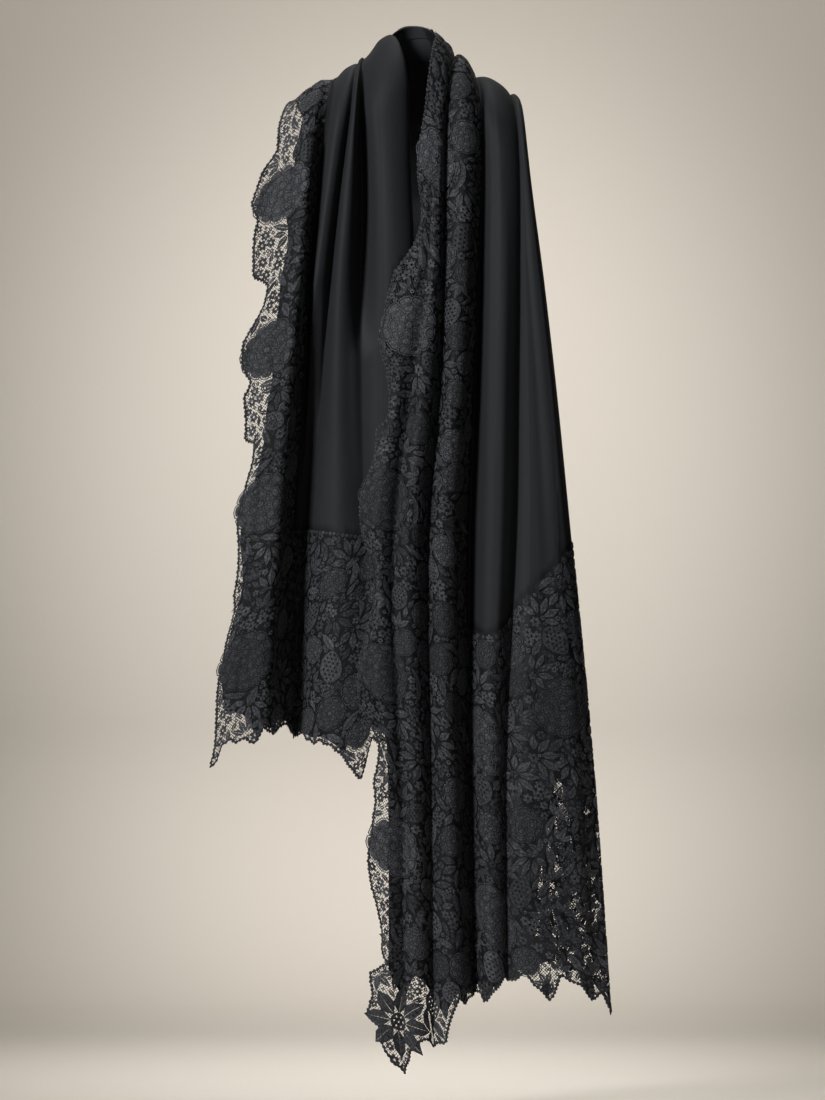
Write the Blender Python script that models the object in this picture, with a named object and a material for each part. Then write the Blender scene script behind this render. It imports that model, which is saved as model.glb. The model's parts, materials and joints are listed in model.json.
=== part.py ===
"""A rectangular wool shawl edged with floral lace, worn round the neck, in metres, +Z up.

The cloth passes round the nape and over both shoulders.  One end hangs short on the -X side and
the other hangs long on the +X side and crosses in front of it.  The front faces -Y.  The origin
is where the wearer holds it: between the shoulders, on the axis of the neck.

Every front section is a curve through fold lines.  A fold line starts on the shoulder ridge, goes
forward over the shoulder and hangs to the hem.  The back is a swag between the two ridges.
"""
import math
from collections import namedtuple

import bmesh
import bpy
import numpy as np

MM = 0.001

# Walls, in metres.
CLOTH_WALL = 0.0012
LACE_WALL = 0.0010
SEAM_GAP = 0.0004
RIDGE_GAP = 0.0015

WOOL_COLOUR = (0.012, 0.012, 0.014)
WOOL_ROUGHNESS = 0.75
LACE_COLOUR = (0.020, 0.020, 0.022)
LACE_ROUGHNESS = 0.55

# The general figure under the cloth, in mm: how far the cloth goes forward over a shoulder, how
# far it drops while it does so, and the length of that curved way.
SHOULDER_REACH = 88.0
SHOULDER_DROP = 72.0
SHOULDER_WAY = 126.0
CHEST_FULLNESS = 10.0
CHEST_HEIGHT = -220.0
CHEST_SPREAD = 170.0

# Height of the shoulder ridge at each distance from the neck's axis, in mm.
RIDGE_DISTANCE = (0.0, 20.0, 34.0, 52.0, 70.0, 90.0, 125.0, 140.0, 155.0)
RIDGE_HEIGHT = (52.0, 50.0, 34.0, 13.0, -2.0, -14.0, -32.0, -40.0, -58.0)

# Where along its way each fold line is tabled: 0 on the ridge and 1 at the hem.
LEVELS = (0.0, 0.10, 0.25, 0.35, 0.50, 0.75, 1.0)

# The headings with which the section enters and leaves a fold, in degrees from straight across.
HEADINGS = {
    "edge": (0.0, 20.0),
    "crest": (0.0, 0.0),
    "trough": (-12.0, 12.0),
    "cleft": (-58.0, 58.0),
    "out": (-90.0, -90.0),
    "in": (90.0, 90.0),
    "under": (180.0, 180.0),
}

# A row for each fold line.  Sizes in mm: lift is how far it stands out from the figure at the
# shoulder, the ribs and the hem, the x columns are its distance outward from the neck's axis at
# the LEVELS, and hem is the height of the lace's lower edge.
Fold = namedtuple(
    "Fold", "name kind lift_top lift_ribs lift_hem top throat chest ribs waist thigh foot hem"
)

LONG_SIDE = (
    Fold("front_edge", "edge", 10, 20, 16, 32, 18, 1, -30, -54, -44, -46, -1135),
    Fold("first_pleat", "crest", 12, 32, 25, 36, 23, 10, -12, -36, -28, -28, -1165),
    Fold("first_groove", "trough", 11, 24, 18, 40, 28, 18, 2, -20, -12, -10, -1178),
    Fold("second_pleat", "crest", 13, 34, 27, 44, 33, 26, 16, -2, 4, 6, -1156),
    Fold("lace_cleft", "cleft", 4, 11, 12, 51, 41, 37, 34, 20, 22, 26, -1150),
    Fold("third_pleat", "crest", 14, 32, 28, 58, 62, 58, 52, 38, 42, 50, -1112),
    Fold("deep_cleft", "cleft", 0, 3, 8, 74, 84, 80, 76, 70, 68, 74, -1096),
    Fold("plain_pleat", "crest", 11, 25, 24, 94, 102, 104, 102, 100, 94, 98, -1084),
    Fold("fine_cleft", "cleft", 3, 8, 10, 116, 126, 128, 127, 125, 112, 113, -1078),
    Fold("outer_pleat", "crest", 7, 18, 22, 122, 132, 146, 157, 168, 191, 202, -1090),
    Fold("outer_turn", "out", 0, 2, 4, 129, 137, 158, 171, 188, 215, 235, -1112),
    Fold("return", "under", -12, -20, -18, 125, 119, 124, 130, 140, 150, 160, -1092),
    Fold("lower_edge", "under", -26, -16, -15, 118, 96, 84, 82, 82, 86, 92, -1090),
)

SHORT_SIDE = (
    Fold("upper_edge", "under", -7, -18, -15, 36, 34, 36, 42, 52, 60, 66, -790),
    Fold("tucked", "under", -6, -16, -13, 29, 18, 14, 12, 14, 22, 34, -792),
    Fold("inner_turn", "in", 2, -4, -3, 25, 7, 1, -3, -6, -4, 16, -800),
    Fold("neck_roll", "crest", 14, 12, 10, 40, 31, 25, 22, 20, 24, 44, -806),
    Fold("roll_groove", "trough", 10, 3, 13, 55, 61, 58, 60, 60, 56, 62, -834),
    Fold("slim_pleat", "crest", 14, 12, 12, 60, 66, 76, 83, 86, 84, 88, -812),
    Fold("slim_groove", "cleft", 10, -4, -12, 64, 71, 87, 96, 106, 121, 125, -796),
    Fold("plain_pleat", "crest", 15, 6, -8, 77, 84, 101, 112, 120, 134, 140, -796),
    Fold("deep_cleft", "trough", 9, -13, -13, 93, 101, 115, 122, 129, 143, 149, -786),
    Fold("lace_pleat", "crest", 15, 19, 18, 108, 118, 129, 137, 149, 167, 182, -794),
    Fold("cloth_edge", "crest", 13, 14, 14, 120, 131, 146, 156, 170, 194, 216, -800),
    Fold("outer_edge", "edge", 8, 5, 8, 138, 153, 178, 182, 196, 212, 238, -816),
)

# The scallops of the lace, in mm: their length along the edge, how far they swing, and how far
# below the ridge the first one is fullest.
Scallop = namedtuple("Scallop", "fold pitch swing first")
LONG_SCALLOP = Scallop("front_edge", 205.0, -9.0, 390.0)
SHORT_SCALLOP = Scallop("outer_edge", 186.0, 8.0, 170.0)

# The middle of the back, in mm: a row for each share of the cloth's width from the collar down.
BackRow = namedtuple("BackRow", "share depth height")
BACK_CENTRE = (
    BackRow(0.00, 46, 65),
    BackRow(0.09, 55, 18),
    BackRow(0.20, 70, -30),
    BackRow(0.36, 86, -95),
    BackRow(0.56, 93, -190),
    BackRow(0.80, 94, -305),
    BackRow(1.00, 90, -400),
)

# The hanging folds of the back: the share of the width each lies at, how far it stands out and
# how wide it is.
BackFold = namedtuple("BackFold", "share lift spread")
BACK_FOLDS = (
    BackFold(0.30, 5.0, 0.035),
    BackFold(0.47, 9.0, 0.045),
    BackFold(0.63, 7.0, 0.040),
    BackFold(0.80, 11.0, 0.050),
)
# How round the swag hangs, and the shares of the width where its lace starts and its cloth stops.
SWAG_ROUNDNESS = 2.6
BACK_LACE_SHARE = 0.80
BACK_CLOTH_SHARE = 0.95

# How finely each wall is divided.  The ease crowds the rows together over the shoulders.
STEPS_PER_FOLD = 2
DENSE_STEPS = 12
LONG_ROWS = 22
SHORT_ROWS = 17
BACK_COLUMNS = 20
BACK_ROWS = 20
SHOULDER_EASE = 1.35

# The row of the grid where the end lace starts.
LONG_END_ROW = 15
SHORT_END_ROW = 13

# At the hem the plain cloth stops this many rows short, and only lace hangs.
CLOTH_END_ROWS = 1


def smooth_interp(at, places, values):
    """A smooth curve through a table: cubic pieces with the slopes of the neighbouring points."""
    places = np.asarray(places, float)
    values = np.asarray(values, float)
    slopes = np.gradient(values, places)
    at = np.clip(np.asarray(at, float), places[0], places[-1])
    i = np.clip(np.searchsorted(places, at, side="right") - 1, 0, len(places) - 2)
    span = places[i + 1] - places[i]
    t = (at - places[i]) / span
    return (
        values[i] * (1 + 2 * t) * (1 - t) ** 2
        + slopes[i] * span * t * (1 - t) ** 2
        + values[i + 1] * t * t * (3 - 2 * t)
        + slopes[i + 1] * span * t * t * (t - 1)
    )


def figure_path(way, ridge):
    """Where cloth lies after going a way down from the ridge: y, z and its outward normal."""
    angle = 0.5 * math.pi * min(way / SHOULDER_WAY, 1.0)
    y = -SHOULDER_REACH * math.sin(angle)
    z = ridge - SHOULDER_DROP * (1.0 - math.cos(angle)) - max(way - SHOULDER_WAY, 0.0)
    chest = CHEST_FULLNESS * math.exp(-(((z - CHEST_HEIGHT) / CHEST_SPREAD) ** 2))
    y -= chest * min(way / SHOULDER_WAY, 1.0)
    tilt = np.array((-SHOULDER_DROP * math.sin(angle), SHOULDER_REACH * math.cos(angle)))
    return y, z, tilt / np.linalg.norm(tilt)


def fold_points(folds, share, scallop=None):
    """Each fold line at a share of its way: across, lift, y, z and the normal's two parts."""
    rows = []
    for fold in folds:
        ridge = float(np.interp(fold.top, RIDGE_DISTANCE, RIDGE_HEIGHT))
        whole_way = SHOULDER_WAY + ridge - SHOULDER_DROP - fold.hem
        way = share * whole_way
        places = fold[5:12]
        across = float(smooth_interp(share, LEVELS, places))
        lifts = (fold.lift_top, fold.lift_ribs, fold.lift_hem)
        lift = float(smooth_interp(share, (0.0, 0.35, 1.0), lifts))
        if scallop and fold.name == scallop.fold:
            turn = 2.0 * math.pi * (way - scallop.first) / scallop.pitch
            growth = min(max(way / SHOULDER_WAY - 1.0, 0.0), 1.0)
            across += scallop.swing * math.cos(turn) * growth
        y, z, normal = figure_path(way, ridge)
        rows.append((across, lift, y, z, normal[0], normal[1]))
    return np.array(rows)


def front_section(folds, share, steps, side, scallop=None):
    """Points across one section, from the neck outward; side is +1 for +X and -1 for -X."""
    rows = fold_points(folds, share, scallop)
    places = np.arange(len(folds))
    points = []
    for i in range(len(folds) - 1):
        start, end = rows[i, :2], rows[i + 1, :2]
        chord = np.linalg.norm(end - start)
        leave = math.radians(HEADINGS[folds[i].kind][1])
        enter = math.radians(HEADINGS[folds[i + 1].kind][0])
        first = chord * np.array((math.cos(leave), math.sin(leave)))
        last = chord * np.array((math.cos(enter), math.sin(enter)))
        count = steps + 1 if i == len(folds) - 2 else steps
        for step in range(count):
            t = step / steps
            across, lift = (
                start * (1 + 2 * t) * (1 - t) ** 2
                + first * t * (1 - t) ** 2
                + end * t * t * (3 - 2 * t)
                + last * t * t * (t - 1)
            )
            y, z, ny, nz = (float(smooth_interp(i + t, places, rows[:, c])) for c in range(2, 6))
            points.append((side * across, y + lift * ny, z + lift * nz))
    return np.array(points)


def fold_place(folds, name, steps):
    """Which point of a section lies on a fold line."""
    return steps * [fold.name for fold in folds].index(name)


def front_grid(folds, rows, side, scallop):
    """A grid of points over one hanging end: rows from the ridge to the hem."""
    shares = np.linspace(0.0, 1.0, rows + 1) ** SHOULDER_EASE
    return np.array([front_section(folds, s, STEPS_PER_FOLD, side, scallop) for s in shares])


def even_by_length(curve, count):
    """The same curve with its points spaced evenly along it."""
    lengths = np.linalg.norm(np.diff(curve, axis=0), axis=1)
    places = np.concatenate(([0.0], np.cumsum(lengths)))
    wanted = np.linspace(0.0, places[-1], count)
    return np.array([np.interp(wanted, places, curve[:, c]) for c in range(3)]).T


def back_grid():
    """A grid of points over the back: rows from the -X ridge to the +X ridge, collar first."""
    shares = np.linspace(0.0, 1.0, BACK_COLUMNS + 1)
    left = front_section(SHORT_SIDE, 0.0, DENSE_STEPS, -1)
    left = even_by_length(left[fold_place(SHORT_SIDE, "inner_turn", DENSE_STEPS):], BACK_COLUMNS + 1)
    right = even_by_length(front_section(LONG_SIDE, 0.0, DENSE_STEPS, 1), BACK_COLUMNS + 1)
    depth = smooth_interp(shares, [r.share for r in BACK_CENTRE], [r.depth for r in BACK_CENTRE])
    height = smooth_interp(shares, [r.share for r in BACK_CENTRE], [r.height for r in BACK_CENTRE])
    fold = sum(f.lift * np.exp(-(((shares - f.share) / f.spread) ** 2)) for f in BACK_FOLDS)
    rows = []
    for turn in np.linspace(0.0, math.pi, BACK_ROWS + 1):
        ridge = left if turn <= 0.5 * math.pi else right
        near = abs(math.cos(turn))
        far = math.sin(turn)
        sag = 1.0 - near ** SWAG_ROUNDNESS
        x = ridge[:, 0] * near
        y = ridge[:, 1] * near * near + (depth + fold * sag) * far
        z = ridge[:, 2] * (1.0 - sag) + height * sag
        rows.append(np.array((x, y, z)).T)
    return np.array(rows)


def grid_normals(grid):
    """Outward unit normals of a grid, lengthened at sharp folds so that walls keep their width."""
    across = np.diff(grid, axis=1)
    along = np.diff(grid, axis=0)
    faces = np.cross(along[:, :-1], across[:-1]) + np.cross(along[:, 1:], across[1:])
    faces /= np.linalg.norm(faces, axis=2, keepdims=True)
    total = np.zeros_like(grid)
    for row in (0, 1):
        for column in (0, 1):
            rows = slice(row, grid.shape[0] - 1 + row)
            columns = slice(column, grid.shape[1] - 1 + column)
            total[rows, columns] += faces
    unit = total / np.linalg.norm(total, axis=2, keepdims=True)
    alignment = np.ones(grid.shape[:2])
    for row in (0, 1):
        for column in (0, 1):
            rows = slice(row, grid.shape[0] - 1 + row)
            columns = slice(column, grid.shape[1] - 1 + column)
            here = np.sum(unit[rows, columns] * faces, axis=2)
            alignment[rows, columns] = np.minimum(alignment[rows, columns], here)
    return unit / np.clip(alignment, 0.5, 1.0)[:, :, None]


def wall(name, grid, normals, inner, outer, material):
    """A closed wall between two offsets of a grid, in metres from the grid's own surface."""
    rows, columns = grid.shape[:2]
    outside = (grid * MM + normals * outer).reshape(-1, 3)
    inside = (grid * MM + normals * inner).reshape(-1, 3)
    mesh = bmesh.new()
    outer_verts = [mesh.verts.new(p) for p in outside]
    inner_verts = [mesh.verts.new(p) for p in inside]
    for r in range(rows - 1):
        for c in range(columns - 1):
            a, b = r * columns + c, r * columns + c + 1
            d, e = a + columns, b + columns
            for triangle in ((a, b, e), (a, e, d)):
                mesh.faces.new([outer_verts[i] for i in triangle])
                mesh.faces.new([inner_verts[i] for i in reversed(triangle)])
    rim = [r * columns for r in range(rows)]
    rim += [(rows - 1) * columns + c for c in range(1, columns)]
    rim += [r * columns + columns - 1 for r in range(rows - 2, -1, -1)]
    rim += [c for c in range(columns - 2, 0, -1)]
    for i, j in zip(rim, rim[1:] + rim[:1]):
        mesh.faces.new((outer_verts[i], inner_verts[i], inner_verts[j]))
        mesh.faces.new((outer_verts[i], inner_verts[j], outer_verts[j]))
    bmesh.ops.recalc_face_normals(mesh, faces=mesh.faces)
    data = bpy.data.meshes.new(name)
    mesh.to_mesh(data)
    mesh.free()
    data.materials.append(material)
    data.shade_smooth()
    data.set_sharp_from_angle(angle=math.radians(50))
    piece = bpy.data.objects.new(name, data)
    bpy.context.collection.objects.link(piece)
    return piece


def drawn_back(grid, side):
    """A grid with one border moved inward by the seam's gap, so that joined pieces stay apart."""
    grid = grid.copy()
    if side in ("near", "far"):
        grid = grid.transpose(1, 0, 2)
    border, inner = (0, 1) if side in ("near", "top") else (-1, -2)
    gap = RIDGE_GAP if side in ("top", "foot") else SEAM_GAP
    step = grid[inner] - grid[border]
    grid[border] += step * (gap / MM) / np.linalg.norm(step, axis=1, keepdims=True)
    if side in ("near", "far"):
        grid = grid.transpose(1, 0, 2)
    return grid


def fabric(name, colour, roughness):
    """A dark, slightly fuzzy cloth."""
    material = bpy.data.materials.new(name)
    material.use_nodes = True
    shader = material.node_tree.nodes["Principled BSDF"]
    shader.inputs["Base Color"].default_value = (*colour, 1.0)
    shader.inputs["Metallic"].default_value = 0.0
    shader.inputs["Roughness"].default_value = roughness
    return material


def panel(name, sheet, rows, columns, seams, inner, outer, material):
    """One piece of the shawl, cut from a sheet's grid and drawn back at its seams."""
    grid, normals = sheet
    piece = grid[rows, columns]
    for seam in seams:
        piece = drawn_back(piece, seam)
    wall(name, piece, normals[rows, columns], inner, outer, material)


def cloth_piece(name, sheet, rows, columns, seams):
    """A panel of the plain cloth, inward from the sheet's own surface."""
    wool = fabric(name, WOOL_COLOUR, WOOL_ROUGHNESS)
    panel(name, sheet, rows, columns, seams, -CLOTH_WALL, 0.0, wool)


def lace_piece(name, sheet, rows, columns, seams):
    """A panel of lace, lying just outside the cloth."""
    lace = fabric(name, LACE_COLOUR, LACE_ROUGHNESS)
    panel(name, sheet, rows, columns, seams, SEAM_GAP, SEAM_GAP + LACE_WALL, lace)


def long_end():
    """The end that hangs on the +X side: its front edge is lace and its outer side turns back."""
    grid = front_grid(LONG_SIDE, LONG_ROWS, 1, LONG_SCALLOP)
    sheet = (grid, grid_normals(grid))
    last = grid.shape[1]
    cloth_start = fold_place(LONG_SIDE, "first_pleat", STEPS_PER_FOLD)
    end_start = fold_place(LONG_SIDE, "deep_cleft", STEPS_PER_FOLD)
    edge_start = fold_place(LONG_SIDE, "return", STEPS_PER_FOLD)
    whole = slice(0, LONG_ROWS + 1)
    cloth = slice(0, LONG_ROWS + 1 - CLOTH_END_ROWS)
    foot = slice(LONG_END_ROW, LONG_ROWS + 1)
    cloth_piece("cloth_right", sheet, cloth, slice(cloth_start, last), ["top"])
    lace_piece("lace_front_right", sheet, whole, slice(0, end_start + 1), ["far"])
    lace_piece("lace_end_right", sheet, foot, slice(end_start, edge_start + 1), ["near", "far"])
    lace_piece("lace_edge_right", sheet, whole, slice(edge_start, last), ["near", "top"])


def short_end():
    """The end that hangs on the -X side: its outer edge is lace and its neck side rolls under."""
    grid = front_grid(SHORT_SIDE, SHORT_ROWS, -1, SHORT_SCALLOP)[:, ::-1]
    sheet = (grid, grid_normals(grid))
    last = grid.shape[1]
    cloth_start = last - 1 - fold_place(SHORT_SIDE, "cloth_edge", STEPS_PER_FOLD)
    edge_stop = last - 1 - fold_place(SHORT_SIDE, "deep_cleft", STEPS_PER_FOLD)
    end_stop = last - 1 - fold_place(SHORT_SIDE, "inner_turn", STEPS_PER_FOLD)
    whole = slice(0, SHORT_ROWS + 1)
    cloth = slice(0, SHORT_ROWS + 1 - CLOTH_END_ROWS)
    foot = slice(SHORT_END_ROW, SHORT_ROWS + 1)
    cloth_piece("cloth_left", sheet, cloth, slice(cloth_start, last), ["top"])
    lace_piece("lace_edge_left", sheet, whole, slice(0, edge_stop + 1), ["far", "top"])
    lace_piece("lace_end_left", sheet, foot, slice(edge_stop, end_stop + 1), ["near"])


def back_swag():
    """The cloth round the nape and over the upper back, with lace along its lower edge."""
    grid = back_grid()
    sheet = (grid, grid_normals(grid))
    whole = slice(0, BACK_ROWS + 1)
    cloth = slice(0, round(BACK_CLOTH_SHARE * BACK_COLUMNS) + 1)
    lace = slice(round(BACK_LACE_SHARE * BACK_COLUMNS), BACK_COLUMNS + 1)
    cloth_piece("cloth_back", sheet, whole, cloth, ["top", "foot"])
    lace_piece("lace_edge_back", sheet, whole, lace, ["top", "foot"])


def build():
    for old in list(bpy.data.objects):
        bpy.data.objects.remove(old)
    long_end()
    short_end()
    back_swag()


build()
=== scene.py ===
# %% [markdown]
# # A black wool shawl edged with floral lace
#
# The shawl is one long rectangle of fine black wool twill.  Lace is sewn along both long edges and
# over both ends.  It hangs round the neck: the short end on the left, and the long end on the
# right, crossing in front of it.  The CAD solids fix the sizes and the folds.  This file makes
# the cloth that is seen: a thin shell on the same folds, a net laid over it, and the worked
# flowers and leaves of the lace, each a small solid of its own.

# %% Load the frame
import json
import math
from collections import namedtuple

import bpy
import numpy as np
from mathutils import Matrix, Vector
from mathutils.geometry import delaunay_2d_cdt
from mathutils.kdtree import KDTree

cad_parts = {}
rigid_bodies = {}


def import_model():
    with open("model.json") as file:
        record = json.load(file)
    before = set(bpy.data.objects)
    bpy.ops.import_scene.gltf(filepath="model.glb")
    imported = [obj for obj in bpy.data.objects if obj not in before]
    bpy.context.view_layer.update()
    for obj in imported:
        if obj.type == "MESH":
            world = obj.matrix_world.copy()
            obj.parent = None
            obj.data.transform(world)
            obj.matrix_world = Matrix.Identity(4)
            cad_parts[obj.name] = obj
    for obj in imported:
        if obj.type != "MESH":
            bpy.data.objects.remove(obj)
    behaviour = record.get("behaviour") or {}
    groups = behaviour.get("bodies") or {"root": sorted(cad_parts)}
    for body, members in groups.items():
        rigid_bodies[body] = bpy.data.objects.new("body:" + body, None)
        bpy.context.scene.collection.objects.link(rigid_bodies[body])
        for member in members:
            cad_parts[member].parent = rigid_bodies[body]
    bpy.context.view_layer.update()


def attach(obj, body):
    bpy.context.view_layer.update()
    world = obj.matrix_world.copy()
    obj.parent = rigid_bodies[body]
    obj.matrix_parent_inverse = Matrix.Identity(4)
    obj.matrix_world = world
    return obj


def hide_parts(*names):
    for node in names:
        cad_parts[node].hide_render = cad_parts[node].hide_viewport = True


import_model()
MM = 0.001

# %% [markdown]
# ## The form: fold lines
#
# A hanging cloth is easiest to describe by its folds.  Each fold line starts on the ridge of a
# shoulder, goes forward over it and hangs to the hem.  Between two fold lines the cloth curves
# smoothly, with a heading that says whether the line is a crest, a trough or a turned edge.  The
# tables repeat the CAD part's own, in millimetres, so the shell lies where the solids are.

# %% The figure under the cloth
SHOULDER_REACH = 88.0
SHOULDER_DROP = 72.0
SHOULDER_WAY = 126.0
CHEST_FULLNESS = 10.0
CHEST_HEIGHT = -220.0
CHEST_SPREAD = 170.0
RIDGE_DISTANCE = (0.0, 20.0, 34.0, 52.0, 70.0, 90.0, 125.0, 140.0, 155.0)
RIDGE_HEIGHT = (52.0, 50.0, 34.0, 13.0, -2.0, -14.0, -32.0, -40.0, -58.0)
LEVELS = (0.0, 0.10, 0.25, 0.35, 0.50, 0.75, 1.0)
LIFT_LEVELS = (0.0, 0.35, 1.0)
HEADINGS = {
    "edge": (0.0, 20.0),
    "crest": (0.0, 0.0),
    "trough": (-12.0, 12.0),
    "cleft": (-58.0, 58.0),
    "out": (-90.0, -90.0),
    "in": (90.0, 90.0),
    "under": (180.0, 180.0),
}

# %% The fold tables
def table(columns, *rows):
    """A table's rows under the names of its columns."""
    return [columns(*row) for row in rows]


Fold = namedtuple(
    "Fold", "name kind lift_top lift_ribs lift_hem top throat chest ribs waist thigh foot hem"
)
LONG_SIDE = table(
    Fold,
    ("front_edge", "edge", 10, 20, 16, 32, 18, 1, -30, -54, -44, -46, -1135),
    ("first_pleat", "crest", 12, 32, 25, 36, 23, 10, -12, -36, -28, -28, -1165),
    ("first_groove", "trough", 11, 24, 18, 40, 28, 18, 2, -20, -12, -10, -1178),
    ("second_pleat", "crest", 13, 34, 27, 44, 33, 26, 16, -2, 4, 6, -1156),
    ("lace_cleft", "cleft", 4, 11, 12, 51, 41, 37, 34, 20, 22, 26, -1150),
    ("third_pleat", "crest", 14, 32, 28, 58, 62, 58, 52, 38, 42, 50, -1112),
    ("deep_cleft", "cleft", 0, 3, 8, 74, 84, 80, 76, 70, 68, 74, -1096),
    ("plain_pleat", "crest", 11, 25, 24, 94, 102, 104, 102, 100, 94, 98, -1084),
    ("fine_cleft", "cleft", 3, 8, 10, 116, 126, 128, 127, 125, 112, 113, -1078),
    ("outer_pleat", "crest", 7, 18, 22, 122, 132, 146, 157, 168, 191, 202, -1090),
    ("outer_turn", "out", 0, 2, 4, 129, 137, 158, 171, 188, 215, 235, -1112),
    ("return", "under", -12, -20, -18, 125, 119, 124, 130, 140, 150, 160, -1092),
    ("lower_edge", "under", -26, -16, -15, 118, 96, 84, 82, 82, 86, 92, -1090),
)
SHORT_SIDE = table(
    Fold,
    ("upper_edge", "under", -7, -18, -15, 36, 34, 36, 42, 52, 60, 66, -790),
    ("tucked", "under", -6, -16, -13, 29, 18, 14, 12, 14, 22, 34, -792),
    ("inner_turn", "in", 2, -4, -3, 25, 7, 1, -3, -6, -4, 16, -800),
    ("neck_roll", "crest", 14, 12, 10, 40, 31, 25, 22, 20, 24, 44, -806),
    ("roll_groove", "trough", 10, 3, 13, 55, 61, 58, 60, 60, 56, 62, -834),
    ("slim_pleat", "crest", 14, 12, 12, 60, 66, 76, 83, 86, 84, 88, -812),
    ("slim_groove", "cleft", 10, -4, -12, 64, 71, 87, 96, 106, 121, 125, -796),
    ("plain_pleat", "crest", 15, 6, -8, 77, 84, 101, 112, 120, 134, 140, -796),
    ("deep_cleft", "trough", 9, -13, -13, 93, 101, 115, 122, 129, 143, 149, -786),
    ("lace_pleat", "crest", 15, 19, 18, 108, 118, 129, 137, 149, 167, 182, -794),
    ("cloth_edge", "crest", 13, 14, 14, 120, 131, 146, 156, 170, 194, 216, -800),
    ("outer_edge", "edge", 8, 5, 8, 138, 153, 178, 182, 196, 212, 238, -816),
)
Scallop = namedtuple("Scallop", "fold pitch swing first")
LONG_SCALLOP = Scallop("front_edge", 205.0, -9.0, 390.0)
SHORT_SCALLOP = Scallop("outer_edge", 186.0, 8.0, 170.0)

# %% The swag of the back
BackRow = namedtuple("BackRow", "share depth height")
BACK_CENTRE = table(
    BackRow,
    (0.00, 46, 65),
    (0.09, 55, 18),
    (0.20, 70, -30),
    (0.36, 86, -95),
    (0.56, 93, -190),
    (0.80, 94, -305),
    (1.00, 90, -400),
)
BackFold = namedtuple("BackFold", "share lift spread")
BACK_FOLDS = table(
    BackFold,
    (0.30, 5.0, 0.035),
    (0.47, 9.0, 0.045),
    (0.63, 7.0, 0.040),
    (0.80, 11.0, 0.050),
)
SWAG_ROUNDNESS = 2.6

# %% [markdown]
# ## From the tables to a surface
#
# Two ways lead from a table to a surface: a lofted spline object, or arithmetic on arrays.  Arrays
# are chosen, because every later piece has to find its place on this same surface, and a formula
# answers for any point.  `way` is the length in mm down a fold line from the ridge, and `fold` is
# a place between fold lines: 2.5 is half way from the third line to the fourth.

# %% Smooth curves through tables
WAY_STEP = 2.0
WAY_COUNT = 700


def blend(start, end, share):
    return start * (1 - share) + end * share


def xy(x, y):
    return np.stack((x, y), axis=-1)


def read_table(at, table):
    """Straight lines through a table of pairs."""
    return np.interp(at, *zip(*table))


def hermite(start, leave, end, enter, t):
    """A cubic from start to end that leaves and enters with the given slopes."""
    return (start * (1 + 2 * t) * (1 - t) ** 2 + leave * t * (1 - t) ** 2
            + end * t * t * (3 - 2 * t) + enter * t * t * (t - 1))


def smooth_interp(at, places, values):
    """A smooth curve through a table, with the slopes of the neighbouring points."""
    places = np.asarray(places, float)
    values = np.asarray(values, float)
    slopes = np.gradient(values, places)
    at = np.clip(np.asarray(at, float), places[0], places[-1])
    i = np.clip(np.searchsorted(places, at, side="right") - 1, 0, len(places) - 2)
    span = places[i + 1] - places[i]
    t = (at - places[i]) / span
    return hermite(values[i], slopes[i] * span, values[i + 1], slopes[i + 1] * span, t)


# %% Fold lines
LIFTS = slice(2, 5)
ACROSS = slice(5, 12)


def whole_way(fold):
    """The length of a fold line from the ridge to the lace's hem."""
    ridge = np.interp(fold.top, RIDGE_DISTANCE, RIDGE_HEIGHT)
    return SHOULDER_WAY + ridge - SHOULDER_DROP - fold.hem


def fold_line(fold, ways, scallop):
    """Across, lift, y, z and the figure's normal along one fold line."""
    ridge = np.interp(fold.top, RIDGE_DISTANCE, RIDGE_HEIGHT)
    share = ways / whole_way(fold)
    across = smooth_interp(share, LEVELS, fold[ACROSS])
    lift = smooth_interp(share, LIFT_LEVELS, fold[LIFTS])
    if fold.name == scallop.fold:
        turn = 2.0 * math.pi * (ways - scallop.first) / scallop.pitch
        growth = np.clip(ways / SHOULDER_WAY - 1.0, 0.0, 1.0)
        across = across + scallop.swing * np.cos(turn) * growth
    over = np.minimum(ways / SHOULDER_WAY, 1.0)
    angle = 0.5 * math.pi * over
    fall = np.maximum(ways - SHOULDER_WAY, 0.0)
    z = ridge - SHOULDER_DROP * (1.0 - np.cos(angle)) - fall
    chest = CHEST_FULLNESS * np.exp(-(((z - CHEST_HEIGHT) / CHEST_SPREAD) ** 2))
    y = -SHOULDER_REACH * np.sin(angle) - chest * over
    normal_y = -SHOULDER_DROP * np.sin(angle)
    normal_z = SHOULDER_REACH * np.cos(angle)
    size = np.hypot(normal_y, normal_z)
    return np.stack((across, lift, y, z, normal_y / size, normal_z / size), axis=-1)


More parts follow.
